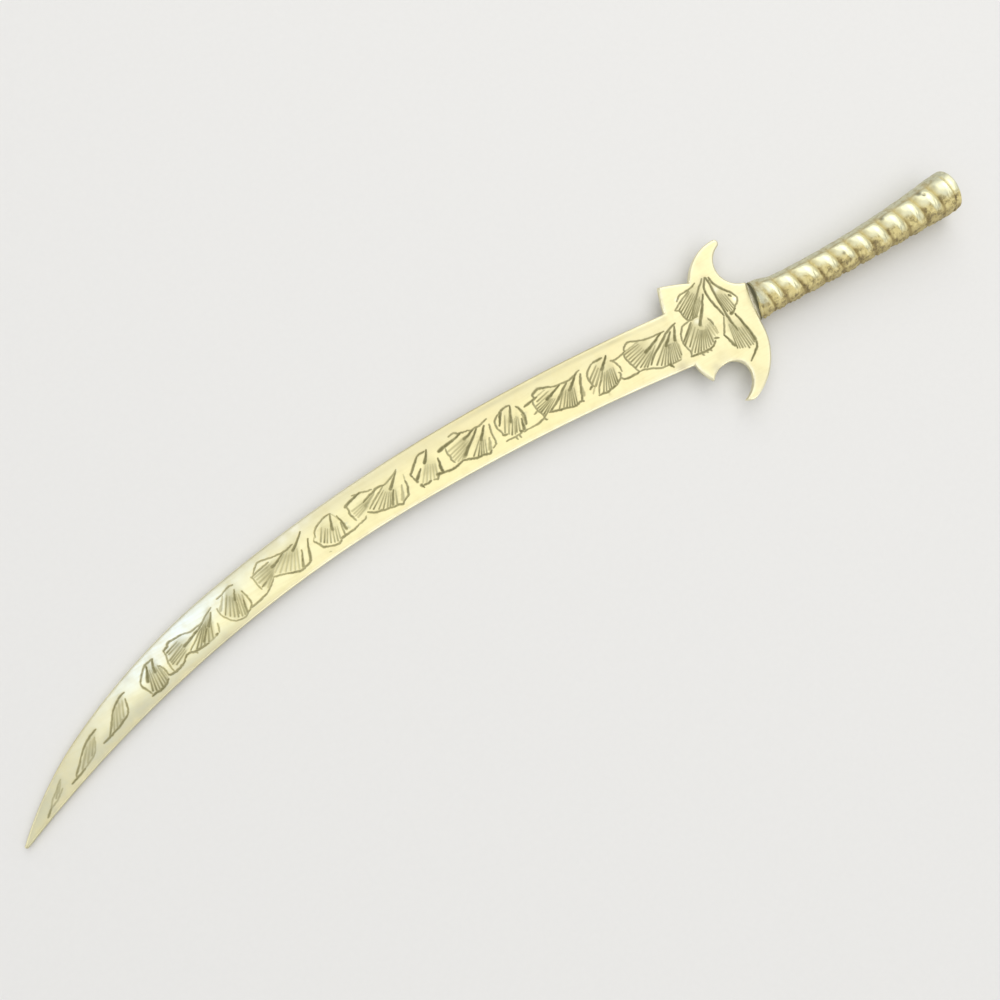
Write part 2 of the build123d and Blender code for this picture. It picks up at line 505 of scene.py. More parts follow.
@dataclass(frozen=True)
class Arc:
    """A round stretch of an outline: its ends, and how far it bows to the left of the way it runs."""

    start: Point
    end: Point
    bow: float

    @classmethod
    def leaving(cls, start: Point, end: Point, tangent: Point) -> "Arc":
        """Makes the arc that leaves its start along a tangent.

        The bow is half the chord times the tangent of half the angle from the tangent to the chord, to the
        other side of the chord.

        Args:
            start: Where it starts.
            end: Where it ends.
            tangent: Its direction at the start.

        Returns:
            The arc.
        """
        chord = (end[0] - start[0], end[1] - start[1])
        turn = np.arctan2(
            tangent[0] * chord[1] - tangent[1] * chord[0], tangent[0] * chord[0] + tangent[1] * chord[1]
        )
        return cls(start, end, float(-hypot(*chord) / 2 * tan(turn / 2)))

    def end_tangent(self) -> Point:
        """Gives the direction at the end: the chord turned back by half of the arc's angle.

        Returns:
            The direction, of any length.
        """
        chord = Vector(self.end) - Vector(self.start)
        half = -2 * atan(2 * self.bow / chord.length)
        return (
            chord.x * cos(half) - chord.y * sin(half),
            chord.x * sin(half) + chord.y * cos(half),
        )

    def reversed(self) -> "Arc":
        """Gives the same arc run the other way."""
        return Arc(self.end, self.start, -self.bow)

    def moved(self, shift: float) -> "Arc":
        """Gives the arc moved along x."""
        return Arc((self.start[0] + shift, self.start[1]), (self.end[0] + shift, self.end[1]), self.bow)

    def _axes(self) -> tuple[np.ndarray, np.ndarray, np.ndarray, float]:
        """Gives the chord's middle, its direction, its left normal and half the arc's angle.

        Returns:
            The four, in that order.
        """
        start, end = np.array(self.start), np.array(self.end)
        length = np.linalg.norm(end - start)
        along = (end - start) / length
        left = np.array((-along[1], along[0]))
        return (start + end) / 2, along, left, 2 * atan(2 * self.bow / length)

    def points(self, step: float) -> tuple[np.ndarray, np.ndarray]:
        """Samples the arc evenly, without its last point.

        A point at an angle a is the centre plus the radius along the chord times sin a and along its left
        normal times cos a.

        Args:
            step: Longest distance between samples.

        Returns:
            The points, and the left normals there.
        """
        middle, along, left, half = self._axes()
        chord = hypot(self.end[0] - self.start[0], self.end[1] - self.start[1])
        bend = abs(half) / sin(abs(half)) if half else 1.0
        count = max(2, int(np.ceil(chord * bend / step)))
        share = np.arange(count)[:, None] / count * 2 - 1
        if not half:
            return middle + along * share * chord / 2, np.repeat(left[None], count, axis=0)
        radius = chord / 2 / sin(half)
        angle = share * half
        spot = middle + along * radius * np.sin(angle) + left * radius * (np.cos(angle) - cos(half))
        return spot, along * np.sin(angle) + left * np.cos(angle)

    def distance(self, spots: np.ndarray) -> np.ndarray:
        """Measures how far plan points lie from the arc.

        Within the arc's angle that is the difference between the distance to its centre and its radius, and
        beyond it the distance to the nearer end.

        Args:
            spots: Plan points.

        Returns:
            Their distances.
        """
        middle, along, left, half = self._axes()
        gaps = [np.linalg.norm(spots - np.array(end), axis=1) for end in (self.start, self.end)]
        ends = np.min(gaps, axis=0)
        chord = hypot(self.end[0] - self.start[0], self.end[1] - self.start[1])
        if not half:
            offset = spots - middle
            inside = np.abs(offset @ along) <= chord / 2
            return np.where(inside, np.abs(offset @ left), ends)
        radius = chord / 2 / sin(half)
        offset = spots - (middle - left * radius * cos(half))
        angle = np.arctan2(offset @ along * np.sign(radius), offset @ left * np.sign(radius))
        off_arc = np.abs(np.linalg.norm(offset, axis=1) - abs(radius))
        return np.where(np.abs(angle) <= abs(half), off_arc, ends)


@dataclass(frozen=True)
class PlateOutline:
    """The plate's plan: blade and guard in one line, in millimetres from the blade's root."""

    root: float = -75.3
    blade_length: float = 175.0
    tip_round: float = 0.35
    tip_top: float = -19.55
    tip_bottom: float = -20.5
    hollow_point: Point = (-69.7, 0.05)
    hollow_root: Point = (0.05, -4.78)
    crest_point: Point = (-55.7, 12.0)
    crest_root: Point = (0.1, 8.81)
    belly_point: Point = (-116.7, 6.7)
    sweep_point: Point = (-154.7, -5.5)
    lower_spur: Point = (1.9, -9.95)
    lower_saddle: Point = (5.9, -8.0)
    lower_crook: Point = (10.3, -12.2)
    lower_horn_end: Point = (5.7, -17.2)
    lower_horn_heel: Point = (8.0, -18.1)
    neck_bottom: Point = (18.37, -3.95)
    neck_top: Point = (20.17, 5.75)
    upper_horn_end: Point = (19.05, 15.95)
    upper_horn_crown: Point = (18.7, 17.85)
    upper_notch: Point = (8.75, 12.05)
    upper_spur: Point = (2.1, 14.65)

    def hollow_edge(self) -> list[Arc]:
        """Gives the concave edge from the tip to the root.

        Returns:
            Its arcs in order.
        """
        nose = (-self.blade_length + self.tip_round, self.tip_bottom)
        front = Arc.leaving(self.hollow_point, nose, (-1, 0)).reversed()
        rear = Arc.leaving(self.hollow_point, self.hollow_root, (1, 0))
        return [arc.moved(self.root) for arc in (front, rear)]

    def crest_edge(self) -> list[Arc]:
        """Gives the convex edge from the root to the tip.

        Returns:
            Its arcs in order.
        """
        nose = (-self.blade_length + self.tip_round, self.tip_top)
        rear = Arc.leaving(self.crest_point, self.crest_root, (1, 0)).reversed()
        front = Arc.leaving(self.crest_point, self.belly_point, (-1, 0))
        belly = Arc.leaving(self.belly_point, self.sweep_point, front.end_tangent())
        sweep = Arc.leaving(self.sweep_point, nose, belly.end_tangent())
        return [arc.moved(self.root) for arc in (rear, front, belly, sweep)]

    def guard_edge(self) -> list[Arc]:
        """Gives the guard's edge from the blade's concave root to its convex root.

        Returns:
            Its arcs in order.
        """
        arcs = (
            Arc(self.hollow_root, self.lower_spur, -0.35),
            Arc(self.lower_spur, self.lower_saddle, 0.5),
            Arc(self.lower_saddle, self.lower_crook, 1.5),
            Arc(self.lower_crook, self.lower_horn_end, 0.9),
            Arc(self.lower_horn_end, self.lower_horn_heel, -0.2),
            Arc(self.lower_horn_heel, self.neck_bottom, -2.8),
            Arc(self.neck_bottom, self.neck_top, 0.0),
            Arc(self.neck_top, self.upper_horn_end, 3.8),
            Arc(self.upper_horn_end, self.upper_horn_crown, -0.85),
            Arc(self.upper_horn_crown, self.upper_notch, -1.6),
            Arc(self.upper_notch, self.upper_spur, -0.15),
            Arc(self.upper_spur, self.crest_root, -0.05),
        )
        return [arc.moved(self.root) for arc in arcs]

    def loop(self) -> list[Arc]:
        """Gives the whole edge, counter-clockwise from the tip.

        Returns:
            Its arcs in order.
        """
        hollow, crest = self.hollow_edge(), self.crest_edge()
        nose = Arc(crest[-1].end, hollow[0].start, -self.tip_round)
        return [*hollow, *self.guard_edge(), *crest, nose]


class Tool(Enum):
    """The chasing tools: width where a cut starts and where it ends, depth in millimetres, and tarnish."""

    LINER = (0.56, 0.56, 0.11, 0.80)
    GRAVER = (0.68, 0.68, 0.14, 0.90)
    SCRIBER = (0.46, 0.46, 0.05, 0.48)
    GOUGE = (0.94, 0.46, 0.16, 0.98)
    PUNCH = (1.10, 0.50, 0.07, 0.62)
    VEIN = (0.46, 0.24, 0.08, 0.94)


@dataclass(frozen=True)
class Stroke:
    """One chased line through plan points, cut with one tool."""

    tool: Tool
    points: tuple[Point, ...]


@dataclass(frozen=True)
class Fan:
    """A fan of veins, each from its rim end to its heart end, on metal that dulls towards the heart."""

    shade: float
    veins: tuple[Four, ...]
    tool: Tool = Tool.VEIN


@dataclass(frozen=True)
class Leaf:
    """One chased leaf."""

    name: str
    strokes: tuple[Stroke, ...]
    fans: tuple[Fan, ...] = ()


ROOT_LEAF = Leaf("root_leaf", (
    Stroke(Tool.LINER, ((-91.3, 5.75), (-90.6, 5.4), (-89.3, 5.5), (-88.2, 5.7), (-87.4, 5.95))),
    Stroke(Tool.GRAVER, ((-90.9, 0.6), (-90.3, 0.4), (-89.3, 0.3), (-88, 0.25), (-87, 0.3))),
    Stroke(Tool.LINER, (
        (-87, 0.3), (-86, 0.2), (-85, -0.2), (-84, -0.6), (-83, -1.1), (-82, -1.6), (-80.3, -1.8),
    )),
    Stroke(Tool.LINER, ((-88.1, 5.6), (-88.2, 4.5), (-88, 3.5), (-87.7, 2.4), (-87.4, 1.4), (-87.1, 0.4))),
    Stroke(Tool.LINER, (
        (-87.5, 6.1), (-87.4, 6.5), (-86.8, 7), (-86, 7.3), (-85.2, 7.15), (-84, 6.6), (-83, 6.2),
    )),
    Stroke(Tool.LINER, ((-83, 6.2), (-82, 5.9), (-80.5, 5.65), (-79, 5.5), (-77.5, 5.4))),
    Stroke(Tool.SCRIBER, ((-87.6, 5.8), (-86, 6), (-84.5, 6.2), (-83.5, 6.3))),
    Stroke(Tool.GOUGE, ((-83.5, 3.4), (-81.8, 3.9), (-80, 4.6), (-78.3, 5.35))),
    Stroke(Tool.GRAVER, (
        (-83.9, 0.3), (-82.7, 1.5), (-80.3, 2.9), (-78.5, 4), (-76.8, 4.95), (-74.2, 5.7),
    )),
    Stroke(Tool.GOUGE, ((-78.7, 2.35), (-77.5, 3.4), (-76.2, 4.55))),
    Stroke(Tool.GOUGE, ((-76.3, 2.4), (-75.5, 3.9), (-74.7, 5.2))),
    Stroke(Tool.GOUGE, ((-80.1, -1.9), (-79.8, -2.7))),
    Stroke(Tool.LINER, ((-79.6, -2), (-78.6, -1.95), (-77.5, -2.15))),
    Stroke(Tool.SCRIBER, ((-76.1, 1.2), (-76.6, -0.6), (-77.4, -2))),
), (
    Fan(0.56, (
        (-88, 5.3, -84.6, 5.7), (-87.9, 4.55, -84.4, 5.2), (-87.6, 3.85, -84.3, 4.5),
        (-87.5, 3.15, -84.2, 3.9), (-87.6, 2.2, -84, 3.4), (-87.3, 1.5, -83.6, 3), (-86.3, 1, -83, 2.6),
        (-85.5, 0.6, -82.3, 2.6), (-84.9, 0.3, -81.5, 3.1),
    )),
    Fan(0.56, (
        (-82.8, -0.4, -79.5, 2.3), (-82, -1, -79.2, 1.9), (-81.3, -1.4, -78.9, 1.8),
        (-80.6, -1.6, -78.5, 1.7), (-79.9, -1.7, -78.2, 1.7), (-79.3, -1.8, -77.9, 1.7),
        (-78.7, -1.8, -77.6, 1.6), (-78.1, -1.7, -77.2, 1.5), (-77.4, -1.6, -76.8, 1.5),
        (-76.8, -1.2, -76.3, 1.6),
    )),
))
FIRST_BUD = Leaf("first_bud", (
    Stroke(Tool.GRAVER, ((-92.8, 7.3), (-94, 7.3), (-95.2, 7.3))),
    Stroke(Tool.LINER, (
        (-95.2, 7.3), (-96.5, 6.7), (-97.4, 5.9), (-97.8, 5), (-97.85, 4), (-97.7, 3), (-97.5, 2.5),
    )),
    Stroke(Tool.GOUGE, ((-94.1, 4.95), (-92.9, 6.1), (-91.7, 7.2))),
    Stroke(Tool.LINER, ((-94.2, 4.6), (-95.5, 3), (-96.6, 1.9), (-97.4, 0.6))),
    Stroke(Tool.GRAVER, ((-97.6, 0.25), (-96.5, 0.2), (-95.7, -0.05), (-95, 0.1), (-94, 0.2), (-93, 0.3))),
    Stroke(Tool.LINER, ((-93, 0.3), (-92.2, 0.8), (-91.4, 1.15), (-90.9, 0.7))),
    Stroke(Tool.LINER, ((-91.4, 5.75), (-90.8, 5), (-90.5, 4.2), (-90.3, 3.4), (-90.4, 2.3))),
    Stroke(Tool.LINER, ((-91.2, 2.5), (-90.9, 2), (-91.3, 1.3), (-90.9, 0.6))),
    Stroke(Tool.GRAVER, ((-98.7, 2.5), (-97.8, 2.95))),
    Stroke(Tool.SCRIBER, ((-98.6, 1.2), (-98.1, 1.8), (-97.5, 2.4))),
), (
    Fan(0.3, ((-97.7, 4.3, -95.2, 6.1), (-97.7, 3.3, -95.1, 5.3), (-97.2, 2.5, -94.9, 4.6)), Tool.LINER),
    Fan(0.5, (
        (-96.4, 0.4, -94.3, 3.6), (-95.7, 0.3, -93.9, 3.4), (-94.9, 0.4, -93.5, 3.6),
        (-94.3, 0.5, -93.2, 3.6), (-93.6, 0.6, -92.7, 3.7), (-93, 0.7, -92.3, 3.7),
        (-92.4, 0.9, -91.8, 3.6),
    )),
))
SECOND_LEAF = Leaf("second_leaf", (
    Stroke(Tool.GRAVER, ((-113.4, 6.55), (-112.2, 6.75), (-111, 6.9), (-109.9, 7.15))),
    Stroke(Tool.SCRIBER, ((-109.9, 7.15), (-108.8, 7.35), (-107.4, 7.5))),
    Stroke(Tool.GRAVER, (
        (-110.5, 7.3), (-110.5, 7.9), (-109.8, 8.2), (-109, 8.5), (-108, 8.25), (-107, 7.9), (-106, 7.4),
    )),
    Stroke(Tool.LINER, (
        (-106, 7.4), (-104.8, 7), (-103.5, 6.9), (-102, 6.65), (-100.8, 6.8), (-99.8, 7.1), (-98.6, 7.5),
    )),
    Stroke(Tool.LINER, (
        (-111.1, 6.9), (-111.35, 6), (-111.35, 5), (-111.1, 4), (-110.8, 3), (-110.6, 2.2),
    )),
    Stroke(Tool.LINER, ((-112.3, 3.95), (-111.4, 4.25))),
    Stroke(Tool.GOUGE, ((-108.2, 5.4), (-107, 5.85), (-105.6, 6.3), (-104.2, 6.85))),
    Stroke(Tool.PUNCH, ((-108.1, 5.4), (-107.2, 5.8), (-106.2, 6.1))),
    Stroke(Tool.GRAVER, ((-108.9, 2.8), (-107.5, 3.4), (-106, 4.2), (-104.3, 5.3), (-102.6, 6.45))),
    Stroke(Tool.GRAVER, ((-109.2, 2.65), (-108, 2.3), (-107, 2), (-106, 1.7), (-105, 1.4), (-104, 1.05))),
    Stroke(Tool.GRAVER, ((-104, 1.05), (-103.2, 0.95), (-102.4, 1.15), (-101.7, 1.2), (-101.3, 0.9))),
    Stroke(Tool.LINER, (
        (-115.2, 1.9), (-113.6, 1.75), (-112.5, 1.8), (-111.2, 2.1), (-110.5, 2.45), (-109.4, 2.95),
    )),
    Stroke(Tool.LINER, ((-110.9, 1.95), (-110.4, 1.5))),
    Stroke(Tool.GOUGE, ((-102.7, 4.6), (-101.8, 5.4), (-100.8, 6.2), (-99.8, 7.1))),
    Stroke(Tool.GRAVER, ((-101.5, 1.2), (-100.7, 2.8), (-99.9, 4.6), (-99.3, 5.7), (-98.8, 6.6))),
    Stroke(Tool.PUNCH, ((-100.6, 2.2), (-100.3, 3.2), (-100, 4))),
), (
    Fan(0.3, (
        (-110.3, 6.15, -107.5, 6.75), (-111, 5.35, -108.2, 5.95), (-111, 4.75, -108.1, 5.3),
        (-110.8, 4.2, -107.9, 5), (-110.7, 3.65, -107.7, 4.8), (-110.4, 3, -107.4, 4.6),
        (-109.5, 3, -107, 4.4),
    )),
    Fan(0.54, (
        (-106.8, 2.3, -104.5, 4.8), (-105.9, 1.95, -103.8, 4.6), (-105.2, 1.7, -103.3, 4.4),
        (-104.6, 1.5, -102.9, 4.3), (-104, 1.35, -102.6, 4.2), (-103.4, 1.25, -102.3, 4.1),
        (-102.8, 1.3, -101.8, 4.1),
    )),
))
SECOND_BUD = Leaf("second_bud", (
    Stroke(Tool.LINER, ((-116, 8.5), (-116.8, 8.65), (-117.6, 8.65))),
    Stroke(Tool.GRAVER, ((-117.4, 8.65), (-118.2, 8.45), (-119, 8.1))),
    Stroke(Tool.LINER, (
        (-119, 8.1), (-119.8, 7.85), (-120.6, 7.2), (-121, 6.3), (-121, 5.2), (-120.6, 4.1), (-120.7, 3.5),
    )),
    Stroke(Tool.GRAVER, ((-120.7, 3.5), (-119.8, 3.2))),
    Stroke(Tool.GOUGE, ((-118.7, 8), (-119.4, 7), (-120.3, 5.7))),
    Stroke(Tool.PUNCH, ((-117.7, 5.3), (-117.1, 6.4), (-116.4, 7.8))),
    Stroke(Tool.GOUGE, ((-117.6, 5.2), (-117, 6.5), (-116.1, 8.3))),
    Stroke(Tool.GRAVER, (
        (-115, 7.6), (-114.6, 6.9), (-114.4, 6), (-114.3, 4.9), (-114.7, 3.6), (-115.1, 3),
    )),
    Stroke(Tool.PUNCH, ((-114.9, 3.5), (-114.7, 4.5), (-114.7, 5.4))),
    Stroke(Tool.GOUGE, ((-115.9, 2.3), (-115.6, 3.4), (-115.3, 4.6))),
    Stroke(Tool.LINER, (
        (-120.7, 1.95), (-119.5, 1.9), (-118.2, 1.8), (-117.2, 1.9), (-116.6, 2.1), (-116, 1.85),
        (-115.2, 1.9),
    )),
    Stroke(Tool.GRAVER, ((-117, 2.5), (-116.4, 2.1))),
    Stroke(Tool.LINER, ((-118.5, 1.8), (-118.3, 1.05))),
    Stroke(Tool.LINER, ((-117.6, 1.8), (-117.4, 1.05))),
), (
    Fan(0.34, (
        (-120, 3.8, -118.4, 6.6), (-119.4, 3.1, -117.9, 5.6), (-118.9, 2.6, -117.3, 5),
        (-118.2, 2.4, -116.8, 5), (-117.7, 2.6, -116.3, 5.2), (-116.9, 2.6, -116, 4.9),
    )),
))
THIRD_LEAF = Leaf("third_leaf", (
    Stroke(Tool.GOUGE, ((-134.7, 7.6), (-133, 7.9), (-131, 8.15), (-129.5, 8.45), (-128.7, 8.7))),
    Stroke(Tool.LINER, (
        (-131.3, 9.3), (-130.5, 9.45), (-129.8, 9.4), (-129.3, 9), (-128.9, 8.75), (-128, 8.6), (-127, 8.4),
    )),
    Stroke(Tool.LINER, (
        (-127, 8.4), (-126.2, 8), (-125.2, 8.05), (-124.2, 7.95), (-123.2, 8.2), (-122, 8.5),
    )),
    Stroke(Tool.GOUGE, ((-128.5, 7.15), (-127.3, 7.45), (-126, 7.95))),
    Stroke(Tool.PUNCH, ((-130.4, 3.8), (-129.2, 4.7), (-127.8, 5.7))),
    Stroke(Tool.GOUGE, ((-130, 4), (-128.2, 5.4), (-126.6, 6.5), (-125.1, 7.75))),
    Stroke(Tool.LINER, ((-133.1, 7.3), (-133.3, 6.2), (-133.05, 5.2), (-133.25, 4.6), (-132.8, 3.7))),
    Stroke(Tool.GRAVER, (
        (-137.3, 3.15), (-136, 3.05), (-135, 2.8), (-134, 2.65), (-133, 2.75), (-132, 3), (-131.2, 3.15),
    )),
    Stroke(Tool.GRAVER, (
        (-131.2, 3.15), (-130.3, 2.9), (-129.5, 2.6), (-128.5, 2.2), (-127.8, 2), (-126.8, 2),
    )),
    Stroke(Tool.GRAVER, ((-126.8, 2), (-126, 1.75), (-125.2, 1.5), (-124.5, 1.95))),
    Stroke(Tool.GOUGE, ((-125.4, 5.1), (-124.4, 6.2), (-123.2, 7.5))),
    Stroke(Tool.PUNCH, ((-124.7, 2.3), (-124.1, 3.4), (-123.6, 4.6))),
    Stroke(Tool.LINER, (
        (-123.9, 2.2), (-123, 2.7), (-122.7, 3.5), (-122.7, 4.5), (-122.55, 5.5), (-122.3, 6.5),
        (-122.1, 7.2),
    )),
), (
    Fan(0.55, (
        (-132.9, 6.5, -129, 7.2), (-132.8, 5.6, -128.9, 6.5), (-132.8, 4.8, -128.7, 6),
        (-132.6, 4.1, -128.9, 5.4), (-132.1, 3.6, -129.2, 4.8), (-131.2, 3.4, -129.6, 4.4),
    ), Tool.SCRIBER),
    Fan(0.45, (
        (-128.6, 2.8, -126.1, 5), (-127.7, 2.3, -125.8, 4.7), (-127, 2.2, -125.5, 4.6),
        (-126.4, 2.1, -125.2, 4.5), (-125.8, 1.9, -124.8, 4.3),
    )),
))
THIRD_BUD = Leaf("third_bud", (
    Stroke(Tool.LINER, ((-137.4, 9.2), (-138.6, 9.25), (-139.6, 9.05))),
    Stroke(Tool.GRAVER, (
        (-139.5, 9), (-140.4, 8.2), (-141.4, 7.3), (-142.2, 6.6), (-142.6, 6.2), (-142.5, 5.5),
    )),
    Stroke(Tool.GOUGE, ((-138.7, 6.95), (-137.8, 8), (-136.9, 9.35))),
    Stroke(Tool.GOUGE, ((-142.1, 4.2), (-142.4, 5.3))),
    Stroke(Tool.GOUGE, ((-142, 4.6), (-141, 5.5), (-140, 6.3))),
    Stroke(Tool.GOUGE, ((-136.2, 3.6), (-136.1, 4.5), (-135.8, 5.4), (-135.7, 6.4))),
    Stroke(Tool.GOUGE, ((-141.7, 3.1), (-141.4, 2.4))),
    Stroke(Tool.GRAVER, ((-141.2, 2.9), (-140.2, 2.75), (-139.4, 2.9))),
    Stroke(Tool.LINER, ((-138.8, 2.75), (-138, 2.5), (-137.6, 2.8), (-137.3, 3.2))),
    Stroke(Tool.GOUGE, ((-137.4, 3.3), (-136.7, 3.2), (-135.9, 3.05))),
), (
    Fan(0.5, (
        (-141.2, 3.4, -139.2, 5.9), (-140.3, 3.2, -138.6, 5.8), (-139.4, 3.1, -138, 5.6),
        (-138.5, 3, -137.5, 5.4), (-137.6, 3.3, -136.9, 5.3),
    ), Tool.SCRIBER),
))
FOURTH_LEAF = Leaf("fourth_leaf", (
    Stroke(Tool.GOUGE, ((-158.4, 7.4), (-157.3, 7.85), (-156.2, 8.1), (-155, 8.4), (-154.2, 8.55))),
    Stroke(Tool.LINER, (
        (-155.9, 8.85), (-155, 8.55), (-154.2, 8.55), (-153.4, 8.3), (-152.6, 8), (-151.6, 7.9),
    )),
    Stroke(Tool.GRAVER, ((-151.4, 7.35), (-150.6, 7.55), (-149.6, 7.5), (-148.8, 7.3))),
    Stroke(Tool.LINER, ((-148.8, 7.3), (-147.6, 7.6), (-146.4, 8.1), (-144.8, 8.85))),
    Stroke(Tool.GRAVER, ((-158.2, 7.3), (-158.05, 6.4), (-158.25, 5.5), (-158, 4.6), (-157.8, 3.7))),
    Stroke(Tool.GRAVER, ((-162.2, 2.1), (-161, 2.1), (-160, 2.15), (-159, 2.25), (-158, 2.5))),
    Stroke(Tool.LINER, ((-158, 2.5), (-157, 2.75), (-156, 2.95), (-155.4, 3.4))),
    Stroke(Tool.GRAVER, (
        (-154.7, 4), (-154, 3.5), (-153, 2.95), (-152, 2.75), (-151, 2.45), (-150, 2.3), (-149.2, 2),
    )),
    Stroke(Tool.GRAVER, ((-149.2, 2), (-148, 1.95), (-147.2, 1.6), (-146.7, 2.15))),
    Stroke(Tool.GRAVER, ((-154.5, 6.35), (-153, 6.8), (-151.5, 7.2), (-150.3, 7.55))),
    Stroke(Tool.PUNCH, ((-154.4, 5.4), (-153.2, 6), (-151.4, 7))),
    Stroke(Tool.LINER, ((-154, 4.4), (-152.4, 5.4), (-150.8, 6.3), (-149.2, 7.1))),
    Stroke(Tool.GOUGE, ((-149.2, 2.7), (-148.4, 4), (-147.5, 5.3))),
    Stroke(Tool.GOUGE, ((-148, 5.8), (-147, 6.7), (-146, 7.7), (-145, 8.65))),
    Stroke(Tool.PUNCH, ((-146.8, 2.5), (-146.1, 3.8), (-145.4, 5.3))),
    Stroke(Tool.GRAVER, ((-146.7, 2.1), (-145.4, 2.6), (-144.8, 3.6), (-144.4, 4.6), (-144.3, 5.8))),
    Stroke(Tool.SCRIBER, ((-144.3, 5.8), (-144, 7.2))),
), (
    Fan(0.6, (
        (-157.5, 5.9, -154.5, 6.3), (-157.4, 5.2, -154.4, 5.9), (-157.3, 4.6, -154.4, 5.5),
        (-157, 4.1, -154.5, 5),
    ), Tool.SCRIBER),
    Fan(0.42, (
        (-153.3, 3.9, -150, 6), (-152.3, 3.3, -149.6, 5.5), (-151.4, 2.9, -149.3, 5.2),
        (-150.5, 2.7, -148.8, 5), (-149.9, 2.6, -148.4, 4.8), (-148.3, 2.3, -147.3, 4.6),
    )),
))
FOURTH_BUD = Leaf("fourth_bud", (
    Stroke(Tool.SCRIBER, ((-166.2, 6.9), (-167.1, 5.4), (-167.8, 4.6))),
    Stroke(Tool.GRAVER, (
        (-167.8, 4.6), (-167.5, 3.9), (-167, 3.1), (-166.6, 2.3), (-165.8, 1.95), (-165, 1.6),
    )),
    Stroke(Tool.GRAVER, ((-165, 1.6), (-164.2, 1.35), (-163.2, 1.3), (-162.5, 1.7))),
    Stroke(Tool.LINER, (
        (-167.1, 5), (-166.8, 6), (-165.8, 6.9), (-164.5, 7.5), (-162.9, 7.9), (-161.8, 7.8),
    )),
    Stroke(Tool.SCRIBER, ((-161.8, 7.8), (-161.2, 6.7), (-160.7, 5.3))),
    Stroke(Tool.GOUGE, ((-163.1, 4.7), (-162.6, 6.3), (-162, 7.7))),
    Stroke(Tool.GOUGE, ((-160.5, 3.3), (-160.5, 4.4), (-160.6, 5.4), (-160.9, 6.6))),
    Stroke(Tool.LINER, ((-161.4, 2.2), (-161.1, 3.6), (-160.9, 5))),
    Stroke(Tool.GRAVER, ((-162.4, 1.9), (-161.4, 2.1), (-160.8, 2.15))),
    Stroke(Tool.SCRIBER, ((-166, 0.75), (-165.6, 0.6))),
), (
    Fan(0.36, (
        (-166.6, 3.6, -165.2, 5.8), (-166, 3.1, -164.6, 5.2), (-165.5, 2.7, -164.2, 4.9),
        (-164.8, 2.3, -163.7, 4.6), (-164, 2, -163.2, 4.3), (-163.3, 1.9, -162.5, 4.4),
        (-162.6, 2.1, -162, 4.3),
    )),
))
FIFTH_LEAF = Leaf("fifth_leaf", (
    Stroke(Tool.LINER, (
        (-182.4, 5), (-181.8, 5.6), (-181, 6.3), (-180.4, 6.65), (-179.2, 6.5), (-178, 6.2), (-176.8, 6),
    )),
    Stroke(Tool.LINER, ((-176.8, 6), (-175.5, 5.85), (-174.4, 5.8), (-173.3, 5.95), (-172.2, 6.3))),
    Stroke(Tool.LINER, ((-183.1, 4.5), (-181.5, 5), (-179.8, 5.3), (-178.4, 5.6))),
    Stroke(Tool.LINER, ((-183.2, 4.7), (-182.9, 4), (-182.8, 3), (-182.7, 2), (-182.4, 1.2))),
    Stroke(Tool.GRAVER, ((-186.2, -1.05), (-185, -0.85), (-184, -0.65), (-183, -0.4), (-182, -0.15))),
    Stroke(Tool.LINER, ((-182, -0.15), (-181, 0.4), (-180, 1.2), (-179.2, 1.9))),
    Stroke(Tool.LINER, ((-179, 2.15), (-178, 1.95), (-177, 1.6), (-176, 1.3))),
    Stroke(Tool.GRAVER, (
        (-176, 1.3), (-175, 0.9), (-174, 0.6), (-173, 0.35), (-172, 0.6), (-171, 0.9), (-170.3, 1.2),
    )),
    Stroke(Tool.GRAVER, ((-182.1, 1.6), (-180.8, 2.1))),
    Stroke(Tool.GOUGE, ((-178.2, 4.2), (-176.6, 4.8), (-175, 5.6))),
    Stroke(Tool.GOUGE, ((-172.7, 5), (-171.4, 5.9), (-170.5, 6.7), (-169.3, 7.7))),
    Stroke(Tool.GOUGE, ((-172.4, 0.9), (-171.7, 2.5), (-171, 4.1))),
    Stroke(Tool.GOUGE, ((-170.4, 1.3), (-169.9, 2.6), (-169.3, 4.2), (-168.7, 5.6))),
), (
    Fan(0.58, (
        (-182.5, 4.2, -179, 4.8), (-182.3, 3.5, -178.8, 4.2), (-182.2, 2.7, -178.7, 3.6),
        (-181.6, 1.6, -178.9, 3.1), (-181, 0.9, -179.1, 2.6),
    ), Tool.SCRIBER),
    Fan(0.5, (
        (-178.2, 2.9, -175.3, 5), (-177.3, 2.3, -174.5, 4.8), (-176.2, 1.9, -173.8, 4.6),
        (-175.2, 1.5, -173.2, 4.5), (-174.3, 1.1, -172.6, 4.4), (-173.4, 0.9, -172, 4.3),
    ), Tool.SCRIBER),
))
